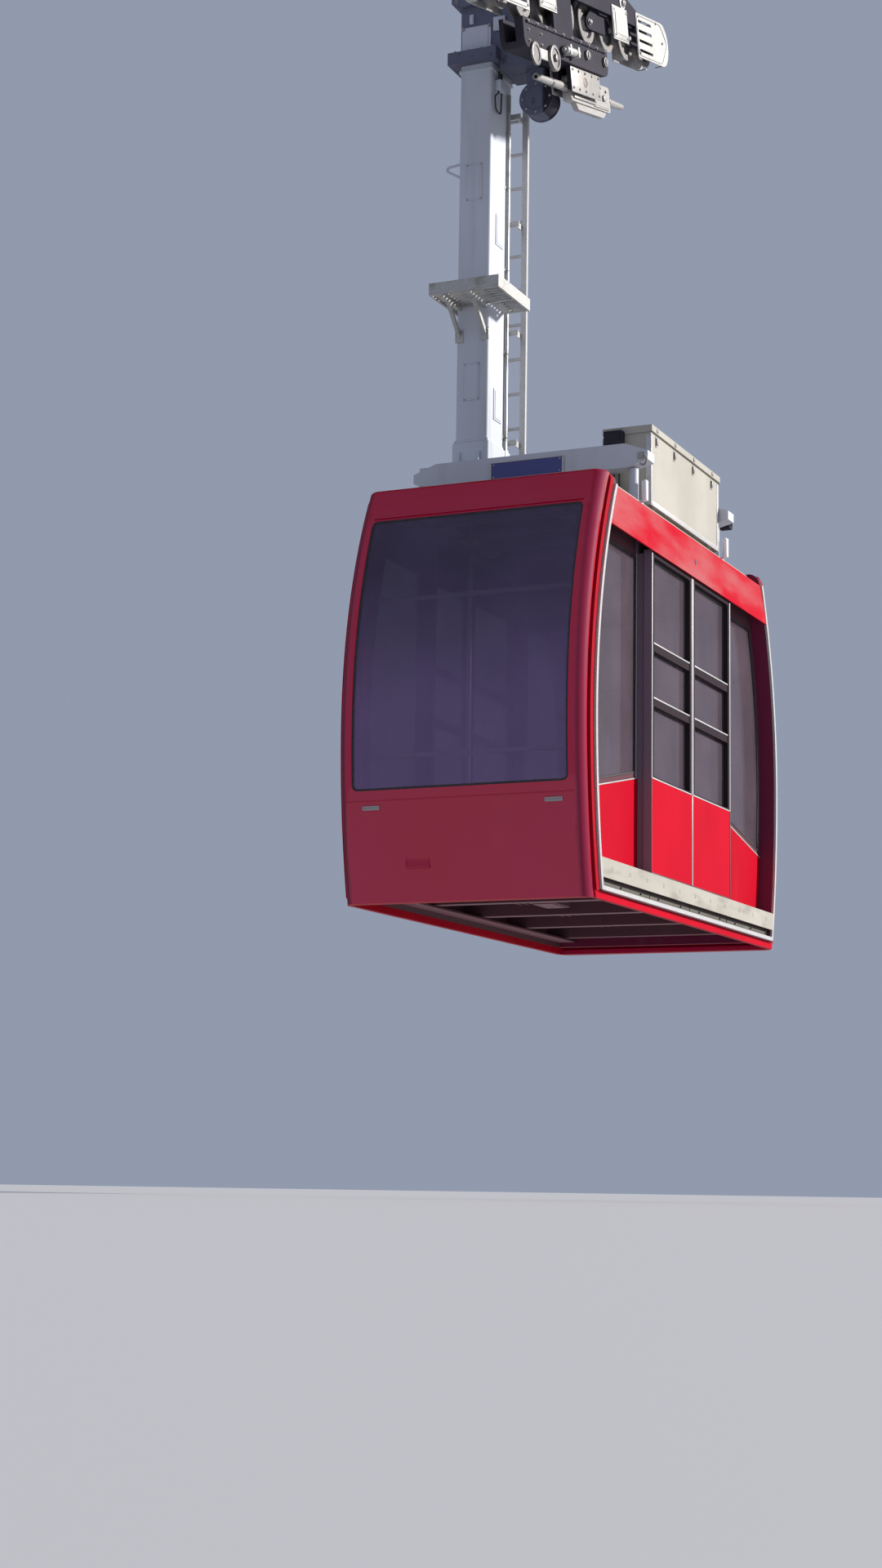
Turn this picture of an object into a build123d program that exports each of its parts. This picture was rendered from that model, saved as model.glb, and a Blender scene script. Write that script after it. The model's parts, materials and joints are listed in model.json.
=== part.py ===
# Cable car cabin with its hanger and rope carriage, in millimetres, +Z up.
# The origin lies on the track rope, over the middle of the cabin's length. +X looks out of the front end
# wall, +Y out of the left door side. Pieces are drawn about the cabin's own middle plane and saved moved
# across, so that the rope lies at Y 0. A name that ends in _h is a height above the cabin's lower edge.
import os
from math import cos, radians, sin, sqrt, tan

from build123d import *

# Ropes
rope_h = 6193.0
rope_y = -100.0
rope_slope = 14.7
rope_r = 24.0
haul_drop = 345.0
haul_r = 14.0
haul_play = 0.5

# Fits: flat faces that seat on each other, and pins that turn in bores
seat = 0.3
pin_play = 0.05

# Cabin side outline: each end is a lower and an upper arc that meet at the waist
waist_h = 1130.0
waist_x = 1800.0
upper_arc_r = 3400.0
lower_arc_r = 5000.0

# Half width of the cabin at its trims, sills and lower rails; a name that ends in _in is how far a face lies
# inside it
trim_face = 834.0

# End shells, end frames and trims, measured outwards from the side outline
shell_reach = 110.0
shell_in = 34.0
shell_wall = 32.0
shell_corner = 80.0
shell_top_round = 26.0
frame_outer = 30.0
frame_inner = -50.0
frame_in = 16.0
frame_top_round = 70.0
trim_outer = -22.0
end_window_in = 129.0
end_window_low_h = 672.0
end_window_under_top = 226.0
end_window_corner = 38.0
glass_wall = 10.0
glass_inset = 7.0

# Floor, sills and lower edge
skirt_top_h = 45.0
skirt_in = 22.0
skirt_wall = 32.0
rail_top_h = 78.0
rail_depth = 74.0
sill_low_h = 129.0
floor_top_h = 245.0
floor_wall = 40.0
sill_plate = 12.0
underframe_in = 44.0
underframe_web = 150.0
crossmember_wide = 80.0
crossmember_low_h = 96.0
crossmember_x = (-1500.0, -750.0, 0.0, 750.0, 1500.0)

# Side walls and their windows
panel_in = 119.0
panel_wall = 30.0
panel_skin = 4.0
doorway_half = 745.0
jamb_wide = 20.0
jamb_deep = 42.0
belt_high = 604.0
belt_fall = 0.2085
side_window_start = 800.0
side_window_border = 55.0
side_window_sill = 34.0
# How far under the belt the opening's block reaches, where the belt's zone cuts it
side_window_reach = 300.0

# Doors: two leaves a side, which slide apart outside the fixed panels
door_in = 20.0
door_wall = 52.0
door_gap = 3.0
door_half = 777.0
door_under = 7.0
door_high = 2058.0
door_corner = 12.0
door_stile = 46.0
door_top_rail = 48.0
door_glass_inset = 36.0
door_bar_rise = (476.0, 824.0)  # over the lower edge of the pane
door_bar_high = 56.0
door_bar_deep = 26.0
door_bar_inset = 4.0
door_hanger_apart = 250.0
door_hanger_wide = 68.0
rail_over_door = 50.0
rail_high = 35.0
rail_wide = 12.0
rail_half = 1450.0
rail_in = 32.0
door_roller_r = 22.0
door_roller_wide = 18.0
hanger_plate = 8.0
hanger_gap = 6.0
rail_stay_x = (-1300.0, -650.0, 0.0, 650.0, 1300.0)
rail_stay_wide = 60.0

# Fascias over the doors, and the roof
fascia_lap = 21.0
fascia_high = 263.0
fascia_plate = 12.0
fascia_lean = 12.0
fascia_round = 10.0
roof_wall = 40.0
roof_in = 74.0
shell_over_roof = 78.0
hatch_x = (-660.0, -140.0)
hatch_y = (-465.0, 80.0)
hatch_hinge_in = 110.0
hatch_hinge_out = 14.0
hinge_ear = 16.0
hinge_knuckle = 50.0
hatch_rim = 30.0
hatch_rim_high = 26.0
hatch_lid = 18.0

# Roof frame that carries the cabin
beam_x = 800.0
beam_wide = 120.0
beam_high = 158.0
beam_end_low = 40.0
beam_end_high = 59.0
beam_half = 815.0
beam_taper = 158.0
post_high = 235.0
post_y = 700.0
post_r = 30.0
post_foot_r = 62.0
post_foot_high = 22.0
long_beams = ((-704.0, 190.0), (280.0, 100.0))  # centre Y, width
sign_y = (-257.0, 238.0)
sign_low = 12.0
sign_high = 104.0
sign_wall = 8.0

# Equipment box on the roof
box_x = (-735.0, 610.0)
box_y = (417.0, 745.0)
box_over_roof = 47.0
box_high = 520.0
box_wall = 4.0
box_foot = 50.0
box_foot_in = 130.0
lid_high = 46.0
lid_wall = 4.0
lid_play = 6.0
hinge_r = 9.0
lug_high = 40.0
lid_hinge_in = 200.0

# Hanger
column_y = -712.0
column_wide = 240.0
column_deep = 354.0
column_wall = 15.0
column_corner = 22.0
foot_high = 335.0
foot_grow = 18.0
loop_low_h = 5239.0
loop_high = 114.0
loop_out = 150.0
loop_r = 9.0
collar_low_h = 6040.0
collar_high = 90.0
collar_y = (-905.0, -540.0)
collar_half = 232.0
head_low_h = 5985.0
head_y = (-840.0, -222.0)
head_half = 150.0
head_over_pivot = 175.0
head_chamfer = 60.0
crown_low_h = 6480.0
crown_y = (-900.0, -230.0)
crown_half = 190.0
hub_r = 165.0
hub_long = 208.0
pivot_w = 470.0
pin_r = 55.0
pin_cap = 22.0

# Ladder behind the column
ladder_x = -285.0
ladder_over_roof = 107.0
ladder_top_h = 5850.0
ladder_half = 187.0
stile_wide = 42.0
stile_deep = 26.0
rung_r = 12.0
rung_step = 250.0
rung_first = 80.0
ladder_brackets = 4
bracket_high = 40.0
bracket_wall = 10.0

# Work platform half way up the column
deck_x = (-70.0, 480.0)
deck_y = (-905.0, -390.0)
deck_h = 4290.0
deck_wall = 26.0
deck_bar = 8.0
deck_pitch = 46.0
toe_high = 84.0
toe_wall = 8.0
deck_play = 3.0
strut_drop = 230.0
strut_back = 130.0
strut_wide = 24.0
bearer_high = 26.0

# Swing damper under the hanger head
damper_y = -302.0
damper_r = 120.0
damper_low_h = 5650.0
damper_long = 130.0
damper_neck = 140.0

# Carriage: rollers in pairs, pairs in main rockers, all lengths along the rope from the carriage's middle
roller_r = 132.0
roller_flange_r = 154.0
roller_wide = 64.0
roller_pitch = 400.0
axle_r = 22.0
link_pin_r = 28.0
rocker_y = (38.0, 50.0)
rocker_top_w = 292.0
main_rocker_y = (56.0, 70.0)
main_rocker_top_w = 372.0
frame_y = (78.0, 96.0)
frame_top_w = 570.0
frame_tip_u = 1150.0
guard_start = 1070.0
hood_start = 1584.0
guard_end = 1760.0
guard_top_w = 350.0
guard_low_w = 30.0
guard_wall = 8.0
guard_round = 150.0
louvre_long = 290.0
louvre_high = 22.0
louvre_step = 70.0
louvre_mid = 1250.0
cover_u = (560.0, 870.0)
cover_w = (90.0, 330.0)
brake_u = (-380.0, 1200.0)
brake_w = (-215.0, -20.0)
brake_y = (-72.0, 100.0)
brake_floor = 40.0
brake_round = 70.0
rope_room = 40.0
strap_u = (260.0, 620.0)
grip_mid = -160.0
grip_half = 390.0
grip_wide = 64.0
grip_high = 180.0
grip_nose = 320.0
grip_tail = 570.0
grip_lip = 8.0
grip_keel_w = -480.0
grip_keel_half = 20.0
yoke_u = (-100.0, 190.0)
yoke_wide = 190.0
yoke_half = 70.0
yoke_low_w = -370.0

# Poles and handrails inside the cabin
pole_x = 900.0
pole_y = 380.0
pole_r = 17.0
handrail_rise = (660.0, 1660.0)  # over the floor
handrail_r = 16.0
handrail_in = 30.0

# Heights that follow from each other, from the floor up to the equipment box
door_low_h = floor_top_h + door_under
door_top_h = door_low_h + door_high
fascia_low_h = door_top_h - fascia_lap
fascia_top_h = fascia_low_h + fascia_high
doorway_top_h = fascia_low_h - 4
side_window_top_h = fascia_low_h - 27
belt_h = floor_top_h + belt_high
door_pane_low_h = belt_h + 13
door_pane_top_h = door_top_h - door_top_rail
rail_low_h = door_top_h + rail_over_door
roof_low_h = fascia_top_h + seat
roof_top_h = roof_low_h + roof_wall
cabin_top_h = fascia_top_h + shell_over_roof
end_window_top_h = cabin_top_h - end_window_under_top
beam_low_h = roof_top_h + post_high
beam_top_h = beam_low_h + beam_high
foot_top_h = beam_top_h + foot_high
box_low_h = roof_top_h + box_over_roof
box_top_h = box_low_h + box_high
ladder_low_h = roof_top_h + ladder_over_roof

# Half widths across the cabin
shell_half = trim_face - shell_in
frame_half = trim_face - frame_in
end_window_half = trim_face - end_window_in
skirt_face = trim_face - skirt_in
underframe_face = trim_face - underframe_in
panel_face = trim_face - panel_in
door_face = trim_face - door_in
rail_face = trim_face - rail_in
roof_half = trim_face - roof_in

slope = radians(rope_slope)
carriage_s = -pivot_w * tan(slope)
pivot_z = -carriage_s * sin(slope) + pivot_w * cos(slope)
axle_w = rope_r + roller_r


def level(h):
    """Z of a height above the cabin's lower edge."""
    return h - rope_h


def reach(h, grow):
    """X of the cabin's side outline at a height, grown outwards by a distance."""
    r = upper_arc_r if h > waist_h else lower_arc_r
    return waist_x - r + sqrt((r + grow) ** 2 - (h - waist_h) ** 2)


def belt(x):
    """Height of the red panels' upper edge: level over the doors, falling towards both ends."""
    return belt_h - max(0.0, abs(x) - door_half) * belt_fall


def side_plane(y):
    """Plane across Y, with local x along +X and local y up; its normal looks along -Y."""
    return Plane.XZ.offset(-y)


def draw_side(grow, low, high, y):
    """Cabin's side outline between two heights, drawn on the plane at that Y."""
    heights = [low, waist_h, high] if low < waist_h < high else [low, high]
    with BuildSketch(side_plane(y)) as outline:
        with BuildLine():
            for a, b in zip(heights, heights[1:]):
                ThreePointArc(*[(reach(h, grow), level(h)) for h in (a, (a + b) / 2, b)])
            Line((reach(high, grow), level(high)), (0, level(high)))
            Line((reach(low, grow), level(low)), (0, level(low)))
            mirror(about=Plane.YZ)
        make_face()
    return outline.sketch


def side_block(grow, low, high, y_low, y_high, mode=Mode.ADD):
    """Solid with the cabin's side outline, between two Y values."""
    extrude(draw_side(grow, low, high, y_high), amount=y_high - y_low, mode=mode)


def block(x, y, z, mode=Mode.ADD):
    """Box between two X, two Y and two Z values."""
    with Locations(((x[0] + x[1]) / 2, (y[0] + y[1]) / 2, (z[0] + z[1]) / 2)):
        Box(x[1] - x[0], y[1] - y[0], z[1] - z[0], mode=mode)


def mirrored(side, low, high):
    """The two distances as rising Y values on one side of the cabin."""
    return (side * low, side * high) if side > 0 else (side * high, side * low)


def about(middle, wide):
    """The two values at half a width on both sides of a middle."""
    return (middle - wide / 2, middle + wide / 2)


def keep_end(end):
    """Keeps the front or the rear half of what is drawn."""
    split(bisect_by=Plane.YZ, keep=Keep.TOP if end > 0 else Keep.BOTTOM)


def save(piece, name):
    """Writes a piece, moved across so that the rope lies at Y 0."""
    placed = piece.part.moved(Location((0, -rope_y, 0)))
    placed.label = name
    export_step(placed, f"parts/{name}.step")


os.makedirs("parts", exist_ok=True)
ends = (("front", 1), ("rear", -1))
sides = (("left", 1), ("right", -1))
beyond = 50.0


# End shells: curved cups with rounded corners and the large end window
def end_window(end, margin, mode):
    """Prism through the end window, smaller all round by a margin."""
    middle = level((end_window_low_h + end_window_top_h) / 2)
    wide = 2 * (end_window_half - margin)
    high = end_window_top_h - end_window_low_h - 2 * margin
    with BuildSketch(Plane.YZ) as opening:
        with Locations((0, middle)):
            RectangleRounded(wide, high, end_window_corner - margin)
    extrude(opening.sketch, amount=end * (waist_x + shell_reach + beyond), mode=mode)


for end_name, end in ends:
    with BuildPart() as end_shell:
        side_block(shell_reach, 0, cabin_top_h, -shell_half, shell_half)
        fillet(end_shell.edges().filter_by(GeomType.CIRCLE), shell_corner)
        fillet(end_shell.faces().sort_by(Axis.Z)[-1].edges(), shell_top_round)
        inner_half = shell_half - shell_wall
        inner_top = cabin_top_h - shell_wall
        side_block(shell_reach - shell_wall, shell_wall, inner_top, -inner_half, inner_half, Mode.SUBTRACT)
        across = shell_half + beyond
        side_block(frame_outer + seat, -beyond, cabin_top_h + beyond, -across, across, Mode.SUBTRACT)
        end_window(end, 0, Mode.SUBTRACT)
        keep_end(end)
    save(end_shell, f"end_shell_{end_name}")

    with BuildPart() as end_glass:
        pane = (end_window_low_h - beyond, end_window_top_h + beyond, -shell_half, shell_half)
        side_block(shell_reach - glass_inset, *pane)
        side_block(shell_reach - glass_inset - glass_wall, *pane, mode=Mode.SUBTRACT)
        end_window(end, seat, Mode.INTERSECT)
    save(end_glass, f"end_glass_{end_name}")

    with BuildPart() as end_frame:
        side_block(frame_outer, skirt_top_h + seat, cabin_top_h - seat, -frame_half, frame_half)
        upper = end_frame.edges().filter_by(Axis.X).group_by(Axis.Z)[-1]
        fillet(upper, frame_top_round)
        across = frame_half + beyond
        side_block(frame_inner, 0, cabin_top_h, -across, across, Mode.SUBTRACT)
        door_side = panel_face - panel_wall
        side_block(frame_outer + beyond, floor_top_h, fascia_top_h, -door_side, door_side, Mode.SUBTRACT)
        keep_end(end)
    save(end_frame, f"end_frame_{end_name}")

# Trims: slim strips that cap the end frames in the plane of the doors
with BuildPart() as end_trims:
    for side_name, side in sides:
        strip = mirrored(side, frame_half + seat, trim_face)
        side_block(trim_outer, skirt_top_h + seat, fascia_top_h, *strip)
        side_block(frame_inner, 0, cabin_top_h, *strip, mode=Mode.SUBTRACT)
save(end_trims, "end_trims")

# Floor with its underframe, sills, lower rails and skirts
inside = frame_inner - seat
with BuildPart() as floor:
    side_block(inside, floor_top_h - floor_wall, floor_top_h, -panel_face, panel_face)
save(floor, "floor")

with BuildPart() as underframe:
    top_h = floor_top_h - floor_wall - seat
    for side_name, side in sides:
        beam = mirrored(side, underframe_face - underframe_web, underframe_face)
        side_block(inside, rail_top_h + seat, top_h, *beam)
        hollow = mirrored(side, underframe_face - underframe_web - 1, underframe_face - sill_plate)
        low_h, high_h = rail_top_h + seat + sill_plate, top_h - sill_plate
        block((-waist_x, waist_x), hollow, (level(low_h), level(high_h)), Mode.SUBTRACT)
    for x in crossmember_x:
        half = underframe_face - sill_plate / 2
        block(about(x, crossmember_wide), (-half, half), (level(crossmember_low_h), level(top_h)))
save(underframe, "underframe")

with BuildPart() as sills:
    for side_name, side in sides:
        side_block(inside, sill_low_h, floor_top_h, *mirrored(side, panel_face + seat, trim_face))
        under = mirrored(side, panel_face - 1, trim_face - sill_plate)
        below = (level(sill_low_h - 1), level(floor_top_h - sill_plate))
        block((-waist_x, waist_x), under, below, Mode.SUBTRACT)
save(sills, "sills")

with BuildPart() as lower_rails:
    for side_name, side in sides:
        strip = mirrored(side, trim_face - rail_depth, trim_face)
        side_block(inside, skirt_top_h + seat, rail_top_h, *strip)
save(lower_rails, "lower_rails")

with BuildPart() as skirts:
    for side_name, side in sides:
        strip = mirrored(side, skirt_face - skirt_wall, skirt_face)
        side_block(frame_outer, 0, skirt_top_h, *strip)
save(skirts, "skirts")


# Side walls with doorway and windows, their glass and the red lower panels
def side_zone(border, low_margin, low, high):
    """Prisms that bound the side windows or panels: beyond a start X and over or under the belt line."""
    far = reach(waist_h, frame_inner)
    with BuildSketch(side_plane(trim_face)) as zone:
        for end_name, end in ends:
            Polygon(
                (end * border, level(low(border) + low_margin)),
                (end * far, level(low(far) + low_margin)),
                (end * far, level(high(far))),
                (end * border, level(high(border))),
                align=None,
            )
    extrude(zone.sketch, amount=2 * trim_face, mode=Mode.INTERSECT)


def window_blocks(side, margin, y_low, y_high):
    """The two side window openings of one side, smaller all round by a margin."""
    edge = inside - side_window_border - margin
    low_h = belt_h - side_window_reach
    side_block(edge, low_h, side_window_top_h - margin, *mirrored(side, y_low, y_high))
    top = side_window_top_h - margin
    side_zone(side_window_start + margin, side_window_sill + margin, belt, lambda x: top)


with BuildPart() as wall_openings:
    window_blocks(1, 0, panel_face - panel_wall - beyond, panel_face + beyond)

for side_name, side in sides:
    with BuildPart() as side_wall:
        top_h = fascia_top_h - fascia_plate - seat
        side_block(inside, floor_top_h + seat, top_h, *mirrored(side, panel_face - panel_wall, panel_face))
        doorway = (level(floor_top_h - 1), level(doorway_top_h))
        through = mirrored(side, panel_face - panel_wall - 1, panel_face + 1)
        block((-doorway_half, doorway_half), through, doorway, Mode.SUBTRACT)
        if side > 0:
            add(wall_openings.part, mode=Mode.SUBTRACT)
        else:
            add(wall_openings.part.mirror(Plane.XZ), mode=Mode.SUBTRACT)
        jamb_y = mirrored(side, panel_face - panel_wall, panel_face + jamb_deep)
        for end_name, end in ends:
            jamb_x = mirrored(end, doorway_half, doorway_half + jamb_wide)
            block(jamb_x, jamb_y, (level(floor_top_h + seat), level(doorway_top_h)))
    save(side_wall, f"side_wall_{side_name}")

with BuildPart() as left_panes:
    window_blocks(1, seat, panel_face - panel_skin - glass_wall, panel_face - panel_skin)
with BuildPart() as side_windows:
    add(left_panes.part)
    mirror(about=Plane.XZ)
save(side_windows, "side_windows")

with BuildPart() as left_panels:
    skin = (panel_face + seat, panel_face + seat + panel_skin)
    side_block(inside, floor_top_h + seat, belt_h + 1, *skin)
    side_zone(doorway_half + jamb_wide + seat, 0, lambda x: floor_top_h - beyond, belt)
with BuildPart() as lower_panels:
    add(left_panels.part)
    mirror(about=Plane.XZ)
save(lower_panels, "lower_panels")

# Fascias: leaning plates with a top flange that carries the roof's edge
with BuildPart() as fascias:
    for side_name, side in sides:
        with BuildSketch(Plane.YZ):
            with BuildLine():
                face_low = (side * trim_face, level(fascia_low_h))
                face_top = (side * (trim_face - fascia_lean), level(fascia_top_h))
                flange_y = side * (panel_face - panel_wall)
                flange_low = level(fascia_top_h - fascia_plate)
                inner_top = (side * (trim_face - fascia_lean - fascia_plate), flange_low)
                inner_low = (side * (trim_face - fascia_plate), level(fascia_low_h))
                Polyline(
                    face_low,
                    face_top,
                    (flange_y, level(fascia_top_h)),
                    (flange_y, flange_low),
                    inner_top,
                    inner_low,
                    close=True,
                )
            make_face()
        extrude(amount=waist_x, both=True)
    outer_top = fascias.edges().filter_by(Axis.X).group_by(Axis.Z)[-1].sort_by(Axis.Y)
    fillet([outer_top[0], outer_top[-1]], fascia_round)
    ends_cut = draw_side(inside, fascia_low_h - beyond, fascia_top_h + beyond, trim_face)
    extrude(ends_cut, amount=2 * trim_face, mode=Mode.INTERSECT)
save(fascias, "fascias")

# Door rails behind the fascias
with BuildPart() as door_rails:
    for side_name, side in sides:
        bar = mirrored(side, rail_face - rail_wide, rail_face)
        block((-rail_half, rail_half), bar, (level(rail_low_h), level(rail_low_h + rail_high)))
        lean = fascia_lean * (rail_low_h + rail_high - fascia_low_h) / (fascia_top_h - fascia_low_h)
        stay = mirrored(side, rail_face, trim_face - fascia_plate - lean - seat)
        for x in rail_stay_x:
            block(about(x, rail_stay_wide), stay, (level(rail_low_h + 4), level(rail_low_h + rail_high - 6)))
save(door_rails, "door_rails")

# Door leaves: framed panels with glass, two cross bars and rollers on the rail
door_middle = (door_gap + door_half) / 2
for end_name, end in ends:
    for side_name, side in sides:
        with BuildPart() as door_leaf:
            with BuildSketch(side_plane(side * door_face)):
                with Locations((end * door_middle, level((door_low_h + door_top_h) / 2))):
                    RectangleRounded(door_half - door_gap, door_top_h - door_low_h, door_corner)
            extrude(amount=side * door_wall)
            with BuildSketch(side_plane(side * door_face)):
                with Locations((end * door_middle, level((door_pane_low_h + door_pane_top_h) / 2))):
                    pane_wide = door_half - door_gap - 2 * door_stile
                    RectangleRounded(pane_wide, door_pane_top_h - door_pane_low_h, door_corner)
            extrude(amount=side * door_wall, mode=Mode.SUBTRACT)
            bar_face = door_face - door_bar_inset
            bar_y = mirrored(side, bar_face - door_bar_deep, bar_face)
            for rise in door_bar_rise:
                bar_z = about(level(door_pane_low_h + rise), door_bar_high)
                block(about(end * door_middle, pane_wide + 2), bar_y, bar_z)
            roller_h = rail_low_h + rail_high + seat + door_roller_r
            plate_face = rail_face - rail_wide - hanger_gap
            plate_y = mirrored(side, plate_face - hanger_plate, plate_face)
            for x in about(end * door_middle, 2 * door_hanger_apart):
                plate_z = (level(door_top_h - 1), level(roller_h + door_roller_r - hanger_gap))
                block(about(x, door_hanger_wide), plate_y, plate_z)
                with Locations((x, side * (plate_face + door_roller_wide / 2), level(roller_h))):
                    Cylinder(door_roller_r, door_roller_wide, rotation=(90, 0, 0))
        save(door_leaf, f"door_{end_name}_{side_name}")

        with BuildPart() as door_glass:
            with BuildSketch(side_plane(side * (door_face - door_glass_inset))):
                with Locations((end * door_middle, level((door_pane_low_h + door_pane_top_h) / 2))):
                    high = door_pane_top_h - door_pane_low_h - 2 * seat
                    RectangleRounded(pane_wide - 2 * seat, high, door_corner - seat)
            extrude(amount=side * glass_wall)
        save(door_glass, f"door_glass_{end_name}_{side_name}")

# Roof panel with the hatch opening and its rim
with BuildPart() as roof_panel:
    side_block(inside, roof_low_h, roof_top_h, -roof_half, roof_half)
    rim_x = (hatch_x[0] + hatch_rim, hatch_x[1] - hatch_rim)
    rim_y = (hatch_y[0] + hatch_rim, hatch_y[1] - hatch_rim)
    block(hatch_x, hatch_y, (level(roof_top_h), level(roof_top_h + hatch_rim_high)))
    block(rim_x, rim_y, (level(roof_low_h - 1), level(roof_top_h + hatch_rim_high + 1)), Mode.SUBTRACT)
save(roof_panel, "roof_panel")

hatch_hinge_x = hatch_x[0] - hatch_hinge_out
hatch_hinge_y = (hatch_y[0] + hatch_hinge_in, hatch_y[1] - hatch_hinge_in)
hatch_hinge_h = roof_top_h + hatch_rim_high + seat + hatch_lid / 2
with BuildPart() as roof_hatch:
    lid_low = level(roof_top_h + hatch_rim_high + seat)
    block((hatch_x[0] + 2, hatch_x[1] + 8), (hatch_y[0] - 8, hatch_y[1] + 8), (lid_low, lid_low + hatch_lid))
    fillet(roof_hatch.edges().filter_by(Axis.Z), 18)
    for y in hatch_hinge_y:
        block((hatch_hinge_x, hatch_x[0] + 20), about(y, hinge_knuckle), (lid_low + 4, lid_low + 14))
        with Locations((hatch_hinge_x, y, level(hatch_hinge_h))):
            Cylinder(hinge_r, hinge_knuckle, rotation=(90, 0, 0))
            bore_long = hinge_knuckle + 2
            Cylinder(hinge_r / 2 + pin_play, bore_long, rotation=(90, 0, 0), mode=Mode.SUBTRACT)
save(roof_hatch, "roof_hatch")

with BuildPart() as hatch_hinges:
    for y in hatch_hinge_y:
        with Locations((hatch_hinge_x, y, level(hatch_hinge_h))):
            Cylinder(hinge_r / 2, 2 * hinge_knuckle, rotation=(90, 0, 0))
        for ear_y in about(y, hinge_knuckle + 2 * hinge_ear - 6):
            ear_z = (level(roof_top_h + seat), level(hatch_hinge_h + hinge_r))
            block(about(hatch_hinge_x, 2 * hinge_r), about(ear_y, hinge_ear), ear_z)
save(hatch_hinges, "hatch_hinges")

# Roof frame: two cross beams with tapered ends and two long beams
with BuildPart() as roof_frame:
    for end_name, end in ends:
        with BuildSketch(Plane.YZ.offset(end * beam_x - beam_wide / 2)):
            with BuildLine():
                end_low = level(beam_low_h + beam_end_low)
                end_top = end_low + beam_end_high
                Polyline(
                    (beam_half, end_low),
                    (beam_half, end_top),
                    (beam_half - beam_taper, level(beam_top_h)),
                    (beam_taper - beam_half, level(beam_top_h)),
                    (-beam_half, end_top),
                    (-beam_half, end_low),
                    (beam_taper - beam_half, level(beam_low_h)),
                    (beam_half - beam_taper, level(beam_low_h)),
                    close=True,
                )
            make_face()
        extrude(amount=beam_wide)
    for y, wide in long_beams:
        block((-beam_x, beam_x), about(y, wide), (level(beam_low_h), level(beam_top_h)))
save(roof_frame, "roof_frame")

with BuildPart() as roof_posts:
    for end_name, end in ends:
        for side_name, side in sides:
            foot = (end * beam_x, side * post_y)
            with Locations((*foot, level(roof_top_h) + seat)):
                bottom = (Align.CENTER, Align.CENTER, Align.MIN)
                Cylinder(post_foot_r, post_foot_high, align=bottom)
                Cylinder(post_r, level(beam_low_h) - level(roof_top_h) - 2 * seat, align=bottom)
save(roof_posts, "roof_posts")

with BuildPart() as sign_plate:
    sign_x = beam_x + beam_wide / 2 + seat
    sign_z = level(beam_low_h + sign_low)
    block((sign_x, sign_x + sign_wall), sign_y, (sign_z, sign_z + sign_high))
save(sign_plate, "sign_plate")

# Equipment box: a sheet housing on four feet, with a hinged lid
lid_hinge_y = box_y[0] - hinge_r - 2
lid_hinge_h = box_top_h + 2
with BuildPart() as equipment_box:
    block(box_x, box_y, (level(box_low_h), level(box_top_h)))
    fillet(equipment_box.edges().filter_by(Axis.Z), 10)
    offset(amount=-box_wall, openings=equipment_box.faces().sort_by(Axis.Z)[-1])
    foot_z = (level(roof_top_h + seat), level(box_low_h + 1))
    for x in (box_x[0] + box_foot_in, box_x[1] - box_foot_in):
        for y in (box_y[0] + box_foot, box_y[1] - box_foot):
            block(about(x, box_foot), about(y, box_foot), foot_z)
    for x in (box_x[0] + lid_hinge_in, box_x[1] - lid_hinge_in):
        with Locations((x, lid_hinge_y, level(lid_hinge_h))):
            Cylinder(hinge_r / 2, 2 * hinge_knuckle + 20, rotation=(0, 90, 0))
        for ear_x in about(x, hinge_knuckle + 2 * hinge_ear + 6):
            ear_low = level(lid_hinge_h) - lug_high
            ear_y = about(lid_hinge_y, 2 * hinge_r)
            block(about(ear_x, hinge_ear), ear_y, (ear_low, level(lid_hinge_h)))
            block(about(ear_x, hinge_ear), (ear_y[0], box_y[0] + 1), (ear_low, ear_low + lug_high / 2))
            with Locations((ear_x, lid_hinge_y, level(lid_hinge_h))):
                Cylinder(hinge_r, hinge_ear, rotation=(0, 90, 0))
save(equipment_box, "equipment_box")

with BuildPart() as box_lid:
    lap = lid_play + lid_wall
    lid_low = level(box_top_h + seat)
    block((box_x[0] - lap, box_x[1] + lap), (box_y[0], box_y[1] + lap), (lid_low - lid_high + 8, lid_low + 8))
    room = (box_x[0] - lid_play, box_x[1] + lid_play)
    block(room, (box_y[0] - 1, box_y[1] + lid_play), (lid_low - lid_high, lid_low), Mode.SUBTRACT)
    for x in (box_x[0] + lid_hinge_in, box_x[1] - lid_hinge_in):
        block(about(x, hinge_knuckle), (lid_hinge_y, box_y[0] + 20), (lid_low + 1, lid_low + 7))
        with Locations((x, lid_hinge_y, level(lid_hinge_h))):
            Cylinder(hinge_r, hinge_knuckle, rotation=(0, 90, 0))
            bore_long = hinge_knuckle + 2
            Cylinder(hinge_r / 2 + pin_play, bore_long, rotation=(0, 90, 0), mode=Mode.SUBTRACT)
save(box_lid, "box_lid")

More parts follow.
